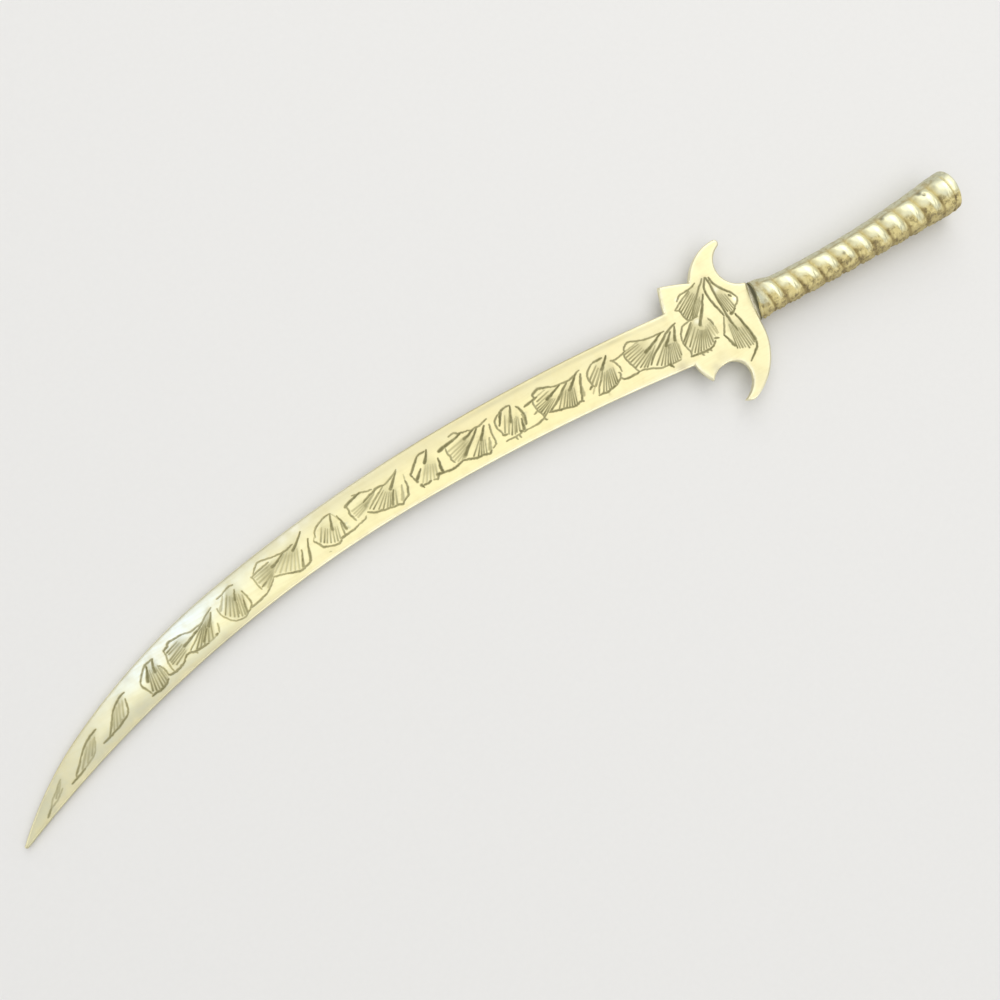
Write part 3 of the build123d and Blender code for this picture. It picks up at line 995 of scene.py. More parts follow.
FIFTH_BUD = Leaf("fifth_bud", (
    Stroke(Tool.LINER, ((-191.7, 4.3), (-190.5, 4.5), (-189.3, 5), (-188.2, 5.3), (-187.3, 5.2))),
    Stroke(Tool.PUNCH, ((-192.1, 1.8), (-191.3, 2.8), (-190.3, 4.2))),
    Stroke(Tool.LINER, (
        (-192.6, 2.4), (-192.6, 1.2), (-192.3, 0.4), (-191.7, -0.6), (-191, -1.4), (-190.3, -1.9),
    )),
    Stroke(Tool.LINER, ((-190.3, -1.9), (-189.5, -2.05), (-188.5, -2.15), (-187.8, -1.9), (-187.2, -1.5))),
    Stroke(Tool.GOUGE, ((-188.4, 2.2), (-188, 3.1), (-187.5, 4.1))),
    Stroke(Tool.LINER, ((-189, -0.9), (-188.7, 0.4), (-188.4, 1.6))),
    Stroke(Tool.GOUGE, ((-187.4, -1.4), (-187.2, -0.1), (-186.9, 1.2))),
    Stroke(Tool.GRAVER, ((-186.3, 3.1), (-186, 2), (-185.8, 0.8), (-185.9, -0.6), (-187.2, -1.5))),
), (
    Fan(0.5, (
        (-191.7, 0.4, -189.8, 3.4), (-190.9, -0.3, -189.3, 2.8), (-190.2, -0.9, -188.9, 2.4),
        (-189.5, -1.3, -188.4, 2),
    )),
    Fan(0.35, ((-188.7, -1.6, -187.8, 2.4), (-188, -1.6, -187.3, 2.2), (-187.3, -1.2, -186.7, 1.8))),
))
SIXTH_LEAF = Leaf("sixth_leaf", (
    Stroke(Tool.GRAVER, (
        (-206.6, 0.3), (-206.3, 0.6), (-205.6, 0.8), (-205.2, 1.4), (-204.5, 1.6), (-203.5, 1.55),
        (-201.8, 1.6),
    )),
    Stroke(Tool.LINER, (
        (-201.8, 1.6), (-200.5, 1.25), (-199.3, 1.15), (-198, 1.35), (-196.8, 1.5), (-195.8, 2.2),
        (-193.6, 3.4),
    )),
    Stroke(Tool.LINER, ((-206.6, 0.4), (-206.5, -0.6), (-206.8, -1.8), (-206.9, -3), (-206.7, -4.3))),
    Stroke(Tool.GRAVER, (
        (-208, -4.4), (-207.5, -4.65), (-206.5, -4.6), (-205.5, -4.45), (-204.8, -4.2), (-204, -3.8),
        (-203.4, -3.2),
    )),
    Stroke(Tool.GRAVER, (
        (-203.4, -3.2), (-202.8, -2.8), (-201.8, -2.7), (-201.2, -2.95), (-200, -3), (-198.8, -3),
        (-197.6, -2.95),
    )),
    Stroke(Tool.SCRIBER, ((-197.6, -2.95), (-196.5, -2.7), (-195, -2.3))),
    Stroke(Tool.LINER, ((-200.8, -3.1), (-200.6, -3.6))),
    Stroke(Tool.GOUGE, ((-202.3, -0.9), (-200.5, -0.2), (-198.5, 0.6), (-196.7, 1.45))),
    Stroke(Tool.LINER, ((-201.6, -2.3), (-199.5, -0.9), (-197.4, 0.7))),
    Stroke(Tool.GOUGE, ((-198.3, -2.1), (-197.5, -1.2), (-196.6, -0.1))),
    Stroke(Tool.GOUGE, ((-195.9, 0.2), (-195, 1.2), (-194.1, 2.4))),
    Stroke(Tool.GOUGE, ((-195.4, -2.3), (-195, -2.1))),
    Stroke(Tool.LINER, ((-194.5, -2.1), (-194.2, -1.2), (-194, -0.3))),
), (
    Fan(0.45, ((-206.1, -0.2, -203.6, 0.6), (-205.9, -0.7, -203.3, 0.1), (-206.3, -1.9, -203.1, -0.5))),
    Fan(0.4, (
        (-206.3, -1.9, -203.1, -0.6), (-206.2, -2.4, -203, -1.1), (-206.2, -2.9, -203, -1.6),
        (-205.5, -3.4, -202.9, -2.1),
    )),
    Fan(0.55, (
        (-200.3, -2.7, -197.2, 0.5), (-199.4, -2.8, -196.7, 0.6), (-198.5, -2.8, -196.3, 0.7),
        (-197.4, -2.7, -195.7, 0.8), (-196.3, -2.5, -195.1, 0.8),
    )),
))
SIXTH_BUD = Leaf("sixth_bud", (
    Stroke(Tool.LINER, (
        (-209.5, 0.3), (-210.3, 0.1), (-211.3, -0.1), (-212.3, -0.9), (-213.2, -1.9), (-213.9, -2.9),
    )),
    Stroke(Tool.LINER, ((-213.9, -2.9), (-213.9, -3.7), (-213.5, -4.6), (-213.1, -5.5), (-212.8, -6.1))),
    Stroke(Tool.GRAVER, (
        (-213, -6.6), (-212.2, -6.35), (-211.3, -6.4), (-210.4, -6.25), (-209.6, -5.95), (-208.9, -5.6),
        (-208.4, -5.1),
    )),
    Stroke(Tool.LINER, ((-209, -1.7), (-208.6, -2.1), (-208.2, -2.9), (-208.05, -3.7), (-208, -4.5))),
    Stroke(Tool.SCRIBER, ((-208.8, -2.4), (-208.6, -3.5), (-208.4, -4.8))),
    Stroke(Tool.GOUGE, ((-210.2, -2.4), (-209.9, -1), (-209.4, 0.25))),
    Stroke(Tool.GOUGE, ((-212.4, -3.3), (-211.5, -1.4), (-211.2, -0.3))),
), (
    Fan(0.4, (
        (-212.4, -5.6, -211.5, -2.4), (-211.7, -5.9, -211.1, -2.2), (-211, -6, -210.7, -2.4),
        (-210.2, -5.9, -210.1, -2.6), (-209.5, -5.6, -209.6, -2.1), (-208.9, -5.2, -209.1, -2.1),
    )),
))
TIP_LEAVES = (
    Leaf("tip_leaf_one", (
        Stroke(Tool.LINER, ((-217.8, -2.8), (-219, -3.2), (-220, -3.8), (-221, -4.5), (-221.8, -5.3))),
        Stroke(Tool.LINER, ((-221.8, -5.3), (-222.6, -6.5), (-223.5, -7.8), (-224.6, -9.3))),
        Stroke(Tool.LINER, ((-226.3, -9.85), (-225, -9.55), (-224, -9.2), (-222.8, -8.85))),
        Stroke(Tool.LINER, ((-222.8, -8.85), (-221.8, -8.5), (-220.8, -8), (-219.9, -7.6), (-219.2, -7.2))),
        Stroke(Tool.LINER, ((-219.2, -7.2), (-218.7, -6.3), (-218.4, -5.2), (-218.2, -4.1))),
        Stroke(Tool.SCRIBER, ((-221, -7.3), (-220.4, -7.9))),
    ), (
        Fan(0.34, (
            (-223.2, -8.7, -221.9, -6), (-222.3, -8.4, -220.9, -5.4), (-221.3, -7.9, -220, -4.8),
            (-220.2, -7.2, -219.1, -4.6),
        ), Tool.SCRIBER),
    )),
    Leaf("tip_leaf_two", (
        Stroke(Tool.LINER, ((-226.4, -6.4), (-227.6, -6.9), (-229, -7.6), (-230.5, -8.7), (-231.6, -9.8))),
        Stroke(Tool.LINER, ((-231.6, -9.8), (-232.8, -11.2), (-234, -12.4), (-234.4, -13))),
        Stroke(Tool.LINER, ((-235.8, -13.75), (-234.5, -13.3), (-233, -12.8), (-232, -12.4))),
        Stroke(Tool.SCRIBER, ((-232, -12.4), (-231, -11.9), (-230, -11.4), (-229, -10.8), (-228.4, -10.1))),
        Stroke(Tool.SCRIBER, ((-228.4, -10.1), (-227.9, -9), (-227.4, -7.8))),
    ), (
        Fan(0.34, (
            (-232.6, -12.2, -230.2, -9.3), (-231, -11.6, -228.9, -8.7), (-229.6, -10.8, -228, -8.4),
        ), Tool.SCRIBER),
    )),
    Leaf("tip_leaf_three", (
        Stroke(Tool.LINER, ((-243.3, -17.2), (-242.6, -16.6), (-241.8, -15.9))),
        Stroke(Tool.SCRIBER, (
            (-241.8, -15.9), (-241, -15.6), (-239.6, -14.9), (-238.6, -14.1), (-237.9, -13.5),
        )),
        Stroke(Tool.SCRIBER, (
            (-241.9, -15.9), (-240.6, -14.4), (-239.5, -13.5), (-238.3, -12.4), (-237.5, -11.7),
        )),
    ), (
        Fan(0.2, ((-240, -14.6, -238.7, -13), (-239, -13.9, -238, -12.5)), Tool.SCRIBER),
    )),
)
GUARD_LEAVES = (
    Leaf("guard_upper_fan", (
        Stroke(Tool.LINER, (
            (-65.5, 11.25), (-66.8, 10.8), (-68, 10.7), (-69, 10.65), (-70, 10.55), (-70.6, 10.2),
            (-71.3, 9.7),
        )),
        Stroke(Tool.LINER, ((-72.7, 8.05), (-71.4, 8.8), (-69.6, 9.6), (-67.6, 10.4))),
        Stroke(Tool.LINER, (
            (-72.6, 8), (-71.8, 7.5), (-71.8, 6.6), (-71.6, 5.6), (-71.3, 4.8), (-70.6, 4.45), (-70, 4.5),
            (-69, 4.4),
        )),
        Stroke(Tool.LINER, ((-63.5, 11.3), (-65, 10), (-66.5, 8.6), (-67.5, 7.7), (-69, 6.2), (-70, 5.2))),
        Stroke(Tool.GOUGE, ((-69.5, 2.5), (-67.8, 4.6), (-66.8, 5.8), (-66.1, 6.8), (-65.2, 8.1))),
        Stroke(Tool.SCRIBER, ((-66.3, 6.2), (-66.7, 7.2), (-66.2, 8))),
    ), (
        Fan(0.56, (
            (-71.7, 7.8, -68.2, 9.7), (-71.7, 7.1, -67.8, 9.2), (-71.5, 6.4, -67.6, 8.8),
            (-71.4, 5.8, -67.4, 8.4), (-71.3, 5.2, -67.3, 8), (-70.8, 4.8, -67.3, 7.6),
            (-70.2, 4.6, -67.2, 7.3), (-69.6, 4.6, -67, 7), (-69.1, 4.6, -66.8, 6.7),
        )),
    )),
    Leaf("guard_lower_fan", (
        Stroke(Tool.LINER, (
            (-70.9, 4.5), (-72.5, 4.3), (-73.3, 4.1), (-74, 3.3), (-74.6, 2.5), (-75.1, 1),
        )),
        Stroke(Tool.LINER, ((-75.1, 1), (-75, 0.2), (-74.8, -0.8), (-74.6, -1.7), (-75, -2.7))),
        Stroke(Tool.GRAVER, ((-74.8, 1), (-73, 2.4), (-71, 3.95))),
        Stroke(Tool.GRAVER, (
            (-75.1, -2.7), (-74, -2.9), (-73, -3.1), (-72, -3.3), (-71, -3.35), (-70, -3.3), (-69.2, -3),
            (-68.5, -2.4),
        )),
        Stroke(Tool.LINER, ((-72.7, -3.2), (-72.4, -4))),
        Stroke(Tool.LINER, ((-71.5, -3.3), (-71.3, -3.8))),
        Stroke(Tool.LINER, ((-70.6, -3.3), (-70.4, -3.85))),
        Stroke(Tool.GRAVER, ((-68.3, -1.8), (-67.5, -2.2))),
        Stroke(Tool.LINER, ((-67.15, 2.9), (-66.9, 2.0), (-66.85, 1.0))),
        Stroke(Tool.SCRIBER, ((-66.85, 1.0), (-66.8, 0.0), (-66.9, -1.2))),
    ), (
        Fan(0.5, (
            (-68.6, -1.9, -68.6, 1.0), (-67.9, -1.3, -68.0, 1.2), (-67.2, -1.2, -67.3, 1.4),
        ), Tool.SCRIBER),
        Fan(0.56, (
            (-75, 0.2, -71.6, 2.9), (-74.2, -0.6, -71.3, 2.1), (-74.5, -1.8, -71, 1.3),
            (-73.9, -2.3, -70.8, 0.9), (-73.2, -2.6, -70.5, 0.7), (-72.5, -2.7, -70.2, 0.6),
            (-71.8, -2.8, -69.9, 0.5), (-71.1, -2.8, -69.6, 0.4), (-70.4, -2.8, -69.3, 0.4),
            (-69.7, -2.6, -69, 0.5), (-69, -2.3, -68.5, 0.7),
        )),
    )),
    Leaf("guard_stems", (
        Stroke(Tool.GRAVER, (
            (-62.8, 11.2), (-64.1, 9.5), (-64.4, 8), (-64.4, 6), (-64.2, 4.5), (-63.8, 2.6), (-63.7, 1.5),
        )),
        Stroke(Tool.GRAVER, (
            (-62.6, 11), (-62.6, 9.5), (-62.7, 8), (-62.9, 5), (-63, 2), (-63, 0), (-62.9, -1.5),
            (-62.7, -2.9),
        )),
        Stroke(Tool.GRAVER, (
            (-62, 10.8), (-61.9, 9.5), (-61.5, 8.4), (-60.9, 7.3), (-60.2, 6.2), (-59.5, 5.3), (-59, 4.2),
        )),
        Stroke(Tool.LINER, ((-59, 4.2), (-58.8, 3.6), (-59.2, 2.9), (-60, 2.3), (-60.8, 1.7))),
        Stroke(Tool.GOUGE, ((-61.9, 1.15), (-61.4, 1.2), (-60.6, 1.7))),
        Stroke(Tool.LINER, ((-62.5, 10.2), (-62, 10.1))),
        Stroke(Tool.GRAVER, ((-60.2, 5.1), (-59.8, 4.5))),
        Stroke(Tool.LINER, ((-63.9, 1.2), (-64.8, -0.4), (-65.5, -1.5), (-66, -2.2))),
        Stroke(Tool.GOUGE, ((-65.2, -5.5), (-65.5, -4), (-66, -2.2))),
        Stroke(Tool.GOUGE, ((-60.4, -6.5), (-60.4, -5), (-60.6, -3), (-60.9, -1), (-61.2, 0.6))),
        Stroke(Tool.GRAVER, ((-60.4, -6.5), (-60.6, -7.7), (-61.2, -8.5), (-62.2, -9.2), (-63.9, -10.4))),
    ), (
        Fan(0.55, (
            (-62.4, 2.0, -62.6, 5.6), (-61.9, 1.7, -62.2, 5.6), (-61.4, 1.7, -61.8, 5.5),
            (-60.9, 1.9, -61.4, 5.4), (-60.4, 2.1, -60.8, 5.1),
        )),
        Fan(0.5, (
            (-65, -6.3, -64, -1.6), (-64.5, -6.6, -63.7, -1.6), (-63.9, -6.8, -63.4, -1.9),
            (-63.3, -7, -63.1, -2.4), (-62.6, -7.6, -62.7, -3), (-62, -7.2, -62.2, -3.2),
            (-61.4, -7.4, -61.6, -3.4), (-60.9, -7, -61, -3.2),
        )),
    )),
)
LEAVES: tuple[Leaf, ...] = (
    ROOT_LEAF, FIRST_BUD, SECOND_LEAF, SECOND_BUD, THIRD_LEAF, THIRD_BUD, FOURTH_LEAF, FOURTH_BUD,
    FIFTH_LEAF, FIFTH_BUD, SIXTH_LEAF, SIXTH_BUD, *TIP_LEAVES, *GUARD_LEAVES,
)


@dataclass
class Cuts:
    """The straight pieces that one leaf is cut in, as arrays: places, widths, depths, tarnish and veil."""

    start: np.ndarray
    end: np.ndarray
    start_width: np.ndarray
    end_width: np.ndarray
    depth: np.ndarray
    start_stain: np.ndarray
    end_stain: np.ndarray
    start_veil: np.ndarray
    end_veil: np.ndarray

    VEIL_REACH = 0.36

    def box(self, margin: float) -> tuple[np.ndarray, np.ndarray]:
        """Gives the leaf's lowest and highest plan corners, with a margin."""
        spots = np.concatenate([self.start, self.end])
        return spots.min(axis=0) - margin, spots.max(axis=0) + margin

    def measure(self, spots: np.ndarray) -> tuple[np.ndarray, np.ndarray, np.ndarray]:
        """Measures the cut at plan points.

        At a share t of the way from a stroke's middle to its edge the groove is its depth times (1 - t^2)^2,
        and the deepest stroke wins. Tarnish fills the groove's middle, and the veil between a fan's veins
        fades with the square of the distance.

        Args:
            spots: Plan points.

        Returns:
            The groove's depth, its tarnish from 0 to 1, and the distance to the nearest stroke's edge.
        """
        span = self.end - self.start
        length = np.maximum((span**2).sum(axis=1), 1e-9)
        offset = spots[:, None] - self.start[None]
        share = np.clip((offset * span[None]).sum(axis=2) / length, 0.0, 1.0)
        away = np.linalg.norm(offset - share[..., None] * span[None], axis=2)
        half = (self.start_width + share * (self.end_width - self.start_width)) / 2
        ratio = away / half
        groove = self.depth * np.clip(1 - ratio**2, 0.0, 1.0) ** 2
        stain = self.start_stain + share * (self.end_stain - self.start_stain)
        stain = (stain * np.clip(1.15 - ratio**2 / 1.1, 0.0, 1.0)).max(axis=1)
        veil = self.start_veil + share * (self.end_veil - self.start_veil)
        veil = (veil * np.exp(-((away / self.VEIL_REACH) ** 2))).max(axis=1)
        edge = np.where(self.depth > 0, away - half, 99.0)
        return groove.max(axis=1), 1 - (1 - stain) * (1 - veil), edge.min(axis=1)


class Chasing:
    """All the chased leaves of the plate's top face."""

    WOBBLE = 0.035
    SPAN_PIECES = 3
    OVERRUN = 0.18

    def __init__(self, leaves: tuple[Leaf, ...], seed: int) -> None:
        """Turns the leaves' strokes and fans into cuts.

        Args:
            leaves: The leaves.
            seed: Seed of the hand's unevenness.
        """
        self.random = np.random.default_rng(seed)
        self.cuts = [self._cuts(leaf) for leaf in leaves]

    def _stroke(self, stroke: Stroke) -> np.ndarray:
        """Cuts a stroke along a flowing line that a hand's wobble shifts, as rows of a cut's numbers.

        Args:
            stroke: The stroke.

        Returns:
            One row for each straight piece.
        """
        start_width, end_width, depth, stain = stroke.tool.value
        curve = flowing_line(stroke.points, self.SPAN_PIECES)
        count = len(curve)
        curve = curve + self.random.normal(0.0, self.WOBBLE, (count, 2))
        share = np.linspace(0, 1, count)
        width = start_width + (end_width - start_width) * share
        if start_width == end_width:
            width = width * (0.66 + 0.34 * np.sqrt(np.clip(np.sin(pi * share), 0, 1)))
        light = self._fading(curve[:, 0])
        width = width * self.random.uniform(0.86, 1.14, count) * light
        dark = stain * self.random.uniform(0.86, 1.06, count - 1) * light[1:]
        still = np.zeros(count - 1)
        ends = (curve[:-1].T, curve[1:].T, width[None, :-1], width[None, 1:])
        rows = (*ends, still + depth, dark, dark, still, still)
        return np.concatenate([np.atleast_2d(row) for row in rows]).T

    def _fan(self, fan: Fan) -> np.ndarray:
        """Cuts a fan's veins, and lays the veil on lines between them that run on past the heart ends.

        Args:
            fan: The fan.

        Returns:
            One row for each vein and each line of the veil.
        """
        start_width, end_width, depth, stain = fan.tool.value
        veins = np.array(fan.veins, float)
        veins[:, 2:] += self.OVERRUN * (veins[:, 2:] - veins[:, :2])
        count = len(veins)
        one = np.ones(count)
        light = self._fading(veins[:, 0])
        gap = np.linalg.norm(np.diff(veins, axis=0).reshape(-1, 2, 2), axis=2).mean(axis=0)
        cut = np.column_stack([
            veins,
            min(start_width, 0.72 * gap[0]) * self.random.uniform(0.8, 1.2, count),
            min(end_width, 0.62 * gap[1]) * self.random.uniform(0.7, 1.3, count),
            depth * self.random.uniform(0.8, 1.2, count),
            stain * self.random.uniform(0.75, 1.1, count) * light,
            stain * self.random.uniform(0.3, 0.5, count) * light,
            0 * one,
            0 * one,
        ])
        place = np.linspace(0, count - 1, 4 * (count - 1) + 1)
        between = np.column_stack([np.interp(place, np.arange(count), veins[:, i]) for i in range(4)])
        rim, heart = between[:, :2], between[:, 2:]
        near, past = rim + (heart - rim) * 0.8, rim + (heart - rim) * 1.65
        flat = np.zeros(len(place))
        thin = flat + 0.01
        far = smooth_step(-172.0, -190.0, rim[:, 0])
        shade = fan.shade * (0.8 + 0.3 * far)
        open_rim = 0.12 + 0.3 * far
        inner = np.column_stack([rim, near, thin, thin, flat, flat, flat, open_rim * shade, shade])
        outer = np.column_stack([near, past, thin, thin, flat, flat, flat, shade, 0.12 * shade])
        return np.concatenate([cut, inner, outer])

    @staticmethod
    def _fading(x: np.ndarray) -> np.ndarray:
        """Gives how much of a cut is left: the far half of the blade is worn, most around the fifth bud."""
        far_half = smooth_step(-136.0, -150.0, x) * smooth_step(-216.0, -206.0, x)
        return 1 - 0.12 * far_half - 0.1 * np.exp(-(((x + 190.0) / 10.0) ** 2))

    def _cuts(self, leaf: Leaf) -> Cuts:
        """Gathers a leaf's strokes and fans."""
        rows = np.concatenate([*map(self._stroke, leaf.strokes), *map(self._fan, leaf.fans)])
        return Cuts(rows[:, :2], rows[:, 2:4], *rows[:, 4:].T)

    def measure(self, spots: np.ndarray) -> tuple[np.ndarray, np.ndarray, np.ndarray]:
        """Measures every leaf's cut at plan points: depth, tarnish and distance to the nearest stroke.

        Args:
            spots: Plan points.

        Returns:
            The three at each point.
        """
        depth, stain = np.zeros(len(spots)), np.zeros(len(spots))
        away = np.full(len(spots), 99.0)
        for cuts in self.cuts:
            low, high = cuts.box(0.8)
            near = np.flatnonzero(((spots >= low) & (spots <= high)).all(axis=1))
            for block in np.array_split(near, len(near) // 8000 + 1):
                leaf_depth, leaf_stain, leaf_away = cuts.measure(spots[block])
                depth[block] = np.maximum(depth[block], leaf_depth)
                stain[block] = np.maximum(stain[block], leaf_stain)
                away[block] = np.minimum(away[block], leaf_away)
        return depth, stain, away


def ring_faces(rows: int, columns: int) -> list[Any]:
    """Joins closed rings into quads, and closes both ends with one face each.

    Args:
        rows: Number of rings.
        columns: Points in each ring.

    Returns:
        Corner indices of each face.
    """
    row, column = np.meshgrid(np.arange(rows - 1), np.arange(columns), indexing="ij")
    here = row * columns + column
    beside = row * columns + (column + 1) % columns
    quads = np.stack([here, beside, beside + columns, here + columns], axis=-1).reshape(-1, 4)
    last = (rows - 1) * columns
    caps = [list(range(columns))[::-1], list(range(last, last + columns))]
    return [*quads.tolist(), *caps]


def new_piece(
    name: str, spots: np.ndarray, faces: list[Any], numbers: dict[str, np.ndarray]
) -> bpy.types.Object:
    """Makes a smooth-shaded piece from whole arrays.

    Args:
        name: The piece's name.
        spots: Places in metres, in the model's frame.
        faces: Corner indices of each face.
        numbers: Numbers kept on the mesh's points, by name.

    Returns:
        The new object, linked into the scene.
    """
    mesh = bpy.data.meshes.new(name)
    mesh.from_pydata(spots, [], faces, shade_flat=False)
    for label, values in numbers.items():
        layer = mesh.attributes.new(label, "FLOAT", "POINT")
        layer.data.foreach_set("value", values.astype(np.float32))
    mesh.set_sharp_from_angle(angle=radians(SHARP_ANGLE))
    piece = bpy.data.objects.new(name, mesh)
    bpy.context.scene.collection.objects.link(piece)
    return piece


def settle(piece: bpy.types.Object, node: str, finish: bpy.types.Material) -> None:
    """Dresses a piece, puts it on the body and lets it stand for its CAD node.

    Args:
        piece: The piece.
        node: The CAD node that it stands for.
        finish: Its material.
    """
    piece.data.materials.append(finish)
    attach(piece, Body.ROOT.value)
    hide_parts(node)
    log.info("%s: %d faces", piece.name, len(piece.data.polygons))


@dataclass
class PlanFrame:
    """Where the plan lies in the model: the pommel's end, the grip's axis and the plate's middle plane."""

    pommel_end: float
    axis_side: float
    middle_height: float

    @classmethod
    def from_cad(cls) -> "PlanFrame":
        """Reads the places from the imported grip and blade.

        Returns:
            The plan's place.
        """
        grip_low, grip_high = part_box("grip")
        blade_low, blade_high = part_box("blade")
        return cls(grip_high.x, (grip_low.y + grip_high.y) / 2, (blade_low.z + blade_high.z) / 2)

    def places(self, x: np.ndarray, y: np.ndarray, z: np.ndarray) -> np.ndarray:
        """Turns plan millimetres and heights into places in metres."""
        start = (self.pommel_end, self.axis_side, self.middle_height)
        return np.stack([first + value * MM for first, value in zip(start, (x, y, z))], axis=-1)


@dataclass
class BladePlate:
    """The blade and guard in one plate: a height over the plan on each face, joined by the edge's wall."""

    plan: PlanFrame
    outline: PlateOutline
    chasing: Chasing
    thickness: float = 1.8
    edge_round: float = 0.5
    hollow_bevel: float = 1.1
    hollow_fall: float = 0.16
    crest_bevel_root: float = 2.3
    crest_bevel_tip: float = 1.2
    crest_fall: float = 0.22
    crown: float = 0.05
    edge_step: float = 0.42
    fine_step: float = 0.125
    coarse_step: float = 0.8
    ring_insets: tuple[float, ...] = (0.06, 0.16, 0.30, 0.46, 0.8, 1.2, 1.9, 2.4)
    coarse_inset: float = 0.6
    struck_reach: float = 0.16
    struck_clearance: float = 0.22
    # Each smudge or glint: its place x and y, its reach and its strength.
    smudges: tuple[Four, ...] = (
        (-62.4, 14.4, 1.3, 0.16), (-71.5, -7.6, 1.2, 0.5), (-78.0, -3.6, 1.4, 0.6),
        (-63.2, 11.2, 1.0, 0.35), (-64.5, -14.5, 2.4, 0.22), (-69.0, -6.4, 1.7, 0.25),
        (-194.0, -3.6, 1.0, 0.35), (-216.0, -7.0, 1.2, 0.3), (-216.0, -0.5, 0.9, 0.35),
    )
    glints: tuple[Four, ...] = (
        (-59.5, 3.6, 0.45, 1.0), (-69.7, 3.6, 0.6, 0.9), (-62.0, 7.5, 0.6, 0.7), (-71.0, 10.1, 0.4, 0.7),
        (-167.0, 9.8, 1.2, 0.4), (-170.0, 9.4, 1.2, 0.6), (-173.5, 8.8, 1.2, 0.4),
    )

    def _heights(self, spots: np.ndarray, rim: np.ndarray) -> tuple[np.ndarray, dict[str, np.ndarray]]:
        """Works out a plain face's height over the plan.

        Half the thickness, less each bevel's straight fall towards its edge, less a quarter-circle at the
        rim, less a shallow crown that falls with the square of the distance from the blade's middle.

        Args:
            spots: Plan points.
            rim: Their distances to the outline.

        Returns:
            The heights, and the finish's numbers at each point.
        """
        hollow = np.min([arc.distance(spots) for arc in self.outline.hollow_edge()], axis=0)
        crest = np.min([arc.distance(spots) for arc in self.outline.crest_edge()], axis=0)
        on_blade = smooth_step(self.outline.root + 0.6, self.outline.root - 1.2, spots[:, 0])
        towards_tip = np.clip((self.outline.root - spots[:, 0]) / self.outline.blade_length, 0.0, 1.0)
        crest_bevel = self.crest_bevel_root + (self.crest_bevel_tip - self.crest_bevel_root) * towards_tip
        on_crest = np.clip(1 - crest / crest_bevel, 0.0, 1.0) * on_blade
        on_hollow = np.clip(1 - hollow / self.hollow_bevel, 0.0, 1.0) * on_blade
        inset = np.clip(self.edge_round - rim, 0.0, self.edge_round)
        rounding = self.edge_round - np.sqrt(np.maximum(self.edge_round**2 - inset**2, 0.0))
        lean = (crest - hollow) / np.maximum(crest + hollow, 1.0)
        eased = 1 - 0.65 * smooth_step(0.55, 0.85, towards_tip)
        fall = (self.crest_fall * on_crest + self.hollow_fall * on_hollow) * eased
        height = self.thickness / 2 - fall - rounding
        # where the painted rim highlight is held back: the crest over the rear half, the hollow side near the
        # tip, the tip
        rim_without_highlight = np.clip(on_crest * 3, 0, 1) * smooth_step(0.02, 0.1, towards_tip)
        rim_without_highlight = rim_without_highlight * smooth_step(0.46, 0.34, towards_tip)
        belly_without_highlight = 0.7 * smooth_step(0.5, 0.7, towards_tip) * smooth_step(-0.2, 0.3, lean)
        rim_without_highlight = np.maximum(rim_without_highlight, belly_without_highlight)
        rim_without_highlight = np.maximum(rim_without_highlight, 0.8 * smooth_step(0.8, 0.9, towards_tip))
        # share of painted shade on the crest side, easing off towards the tip
        painted_crest_shade = smooth_step(-0.1, -0.75, lean) * on_blade
        numbers = {
            "crest": painted_crest_shade * (1 - 0.5 * smooth_step(0.55, 0.75, towards_tip)),
            "guard": 1 - smooth_step(0.02, 0.22, towards_tip),
            # painted shade, partly olive patina, towards the tip, earlier on the hollow side
            "tip": smooth_step(0.0, 1.0, (towards_tip - 0.74 + 0.26 * np.clip(lean, 0, 1)) / 0.24),
            # painted shade on the crest bevel, fading out towards the tip
            "crest_bevel_shade": np.exp(-(((crest - 1.0) / 0.65) ** 2)) * on_blade * smooth_step(0.40, 0.18, towards_tip),
            "smudge": self._marked(spots, self.smudges),
            "glint": self._marked(spots, self.glints),
            # painted highlight along the rounded rim
            "rim": np.exp(-((rim / 0.55) ** 2)) * (1 - rim_without_highlight),
            # painted cool reflection on the crest half near the tip
            "cool_sheen": np.exp(-(((towards_tip - 0.735) / 0.085) ** 2)) * smooth_step(0.3, -0.4, lean),
        }
        return np.maximum(height - self.crown * lean**2 * on_blade, 0.08), numbers

    @staticmethod
    def _marked(spots: np.ndarray, marks: tuple[Four, ...]) -> np.ndarray:
        """Gives the share of soft round marks, which fade with the square of the distance.

        Args:
            spots: Plan points.
            marks: The marks.

        Returns:
            The largest share at each point.
        """
        share = np.zeros(len(spots))
        for x, y, reach, strength in marks:
            away = (spots[:, 0] - x) ** 2 + (spots[:, 1] - y) ** 2
            share = np.maximum(share, strength * np.exp(-away / reach**2))
        return share

    def _edge(self) -> tuple[np.ndarray, np.ndarray]:
        """Samples the outline: its points in order, and the inward normals there."""
        parts = [arc.points(self.edge_step) for arc in self.outline.loop()]
        return np.concatenate([p for p, _ in parts]), np.concatenate([n for _, n in parts])

    def _rim_distance(self, spots: np.ndarray) -> np.ndarray:
        """Measures how far plan points lie from the outline."""
        return np.min([arc.distance(spots) for arc in self.outline.loop()], axis=0)

    @staticmethod
    def _lattice(low: np.ndarray, high: np.ndarray, step: float) -> np.ndarray:
        """Fills a box with points in rows that are offset by half a step, as in a honeycomb.

        Args:
            low: The box's lowest corner.
            high: Its highest corner.
            step: Distance between points in a row.

        Returns:
            The points.
        """
        columns = np.arange(low[0], high[0], step)
        rows = np.arange(low[1], high[1], step * 0.866)
        x, y = np.meshgrid(columns, rows)
        x = x + (np.arange(len(rows)) % 2)[:, None] * step / 2
        return np.stack([x.ravel(), y.ravel()], axis=1)

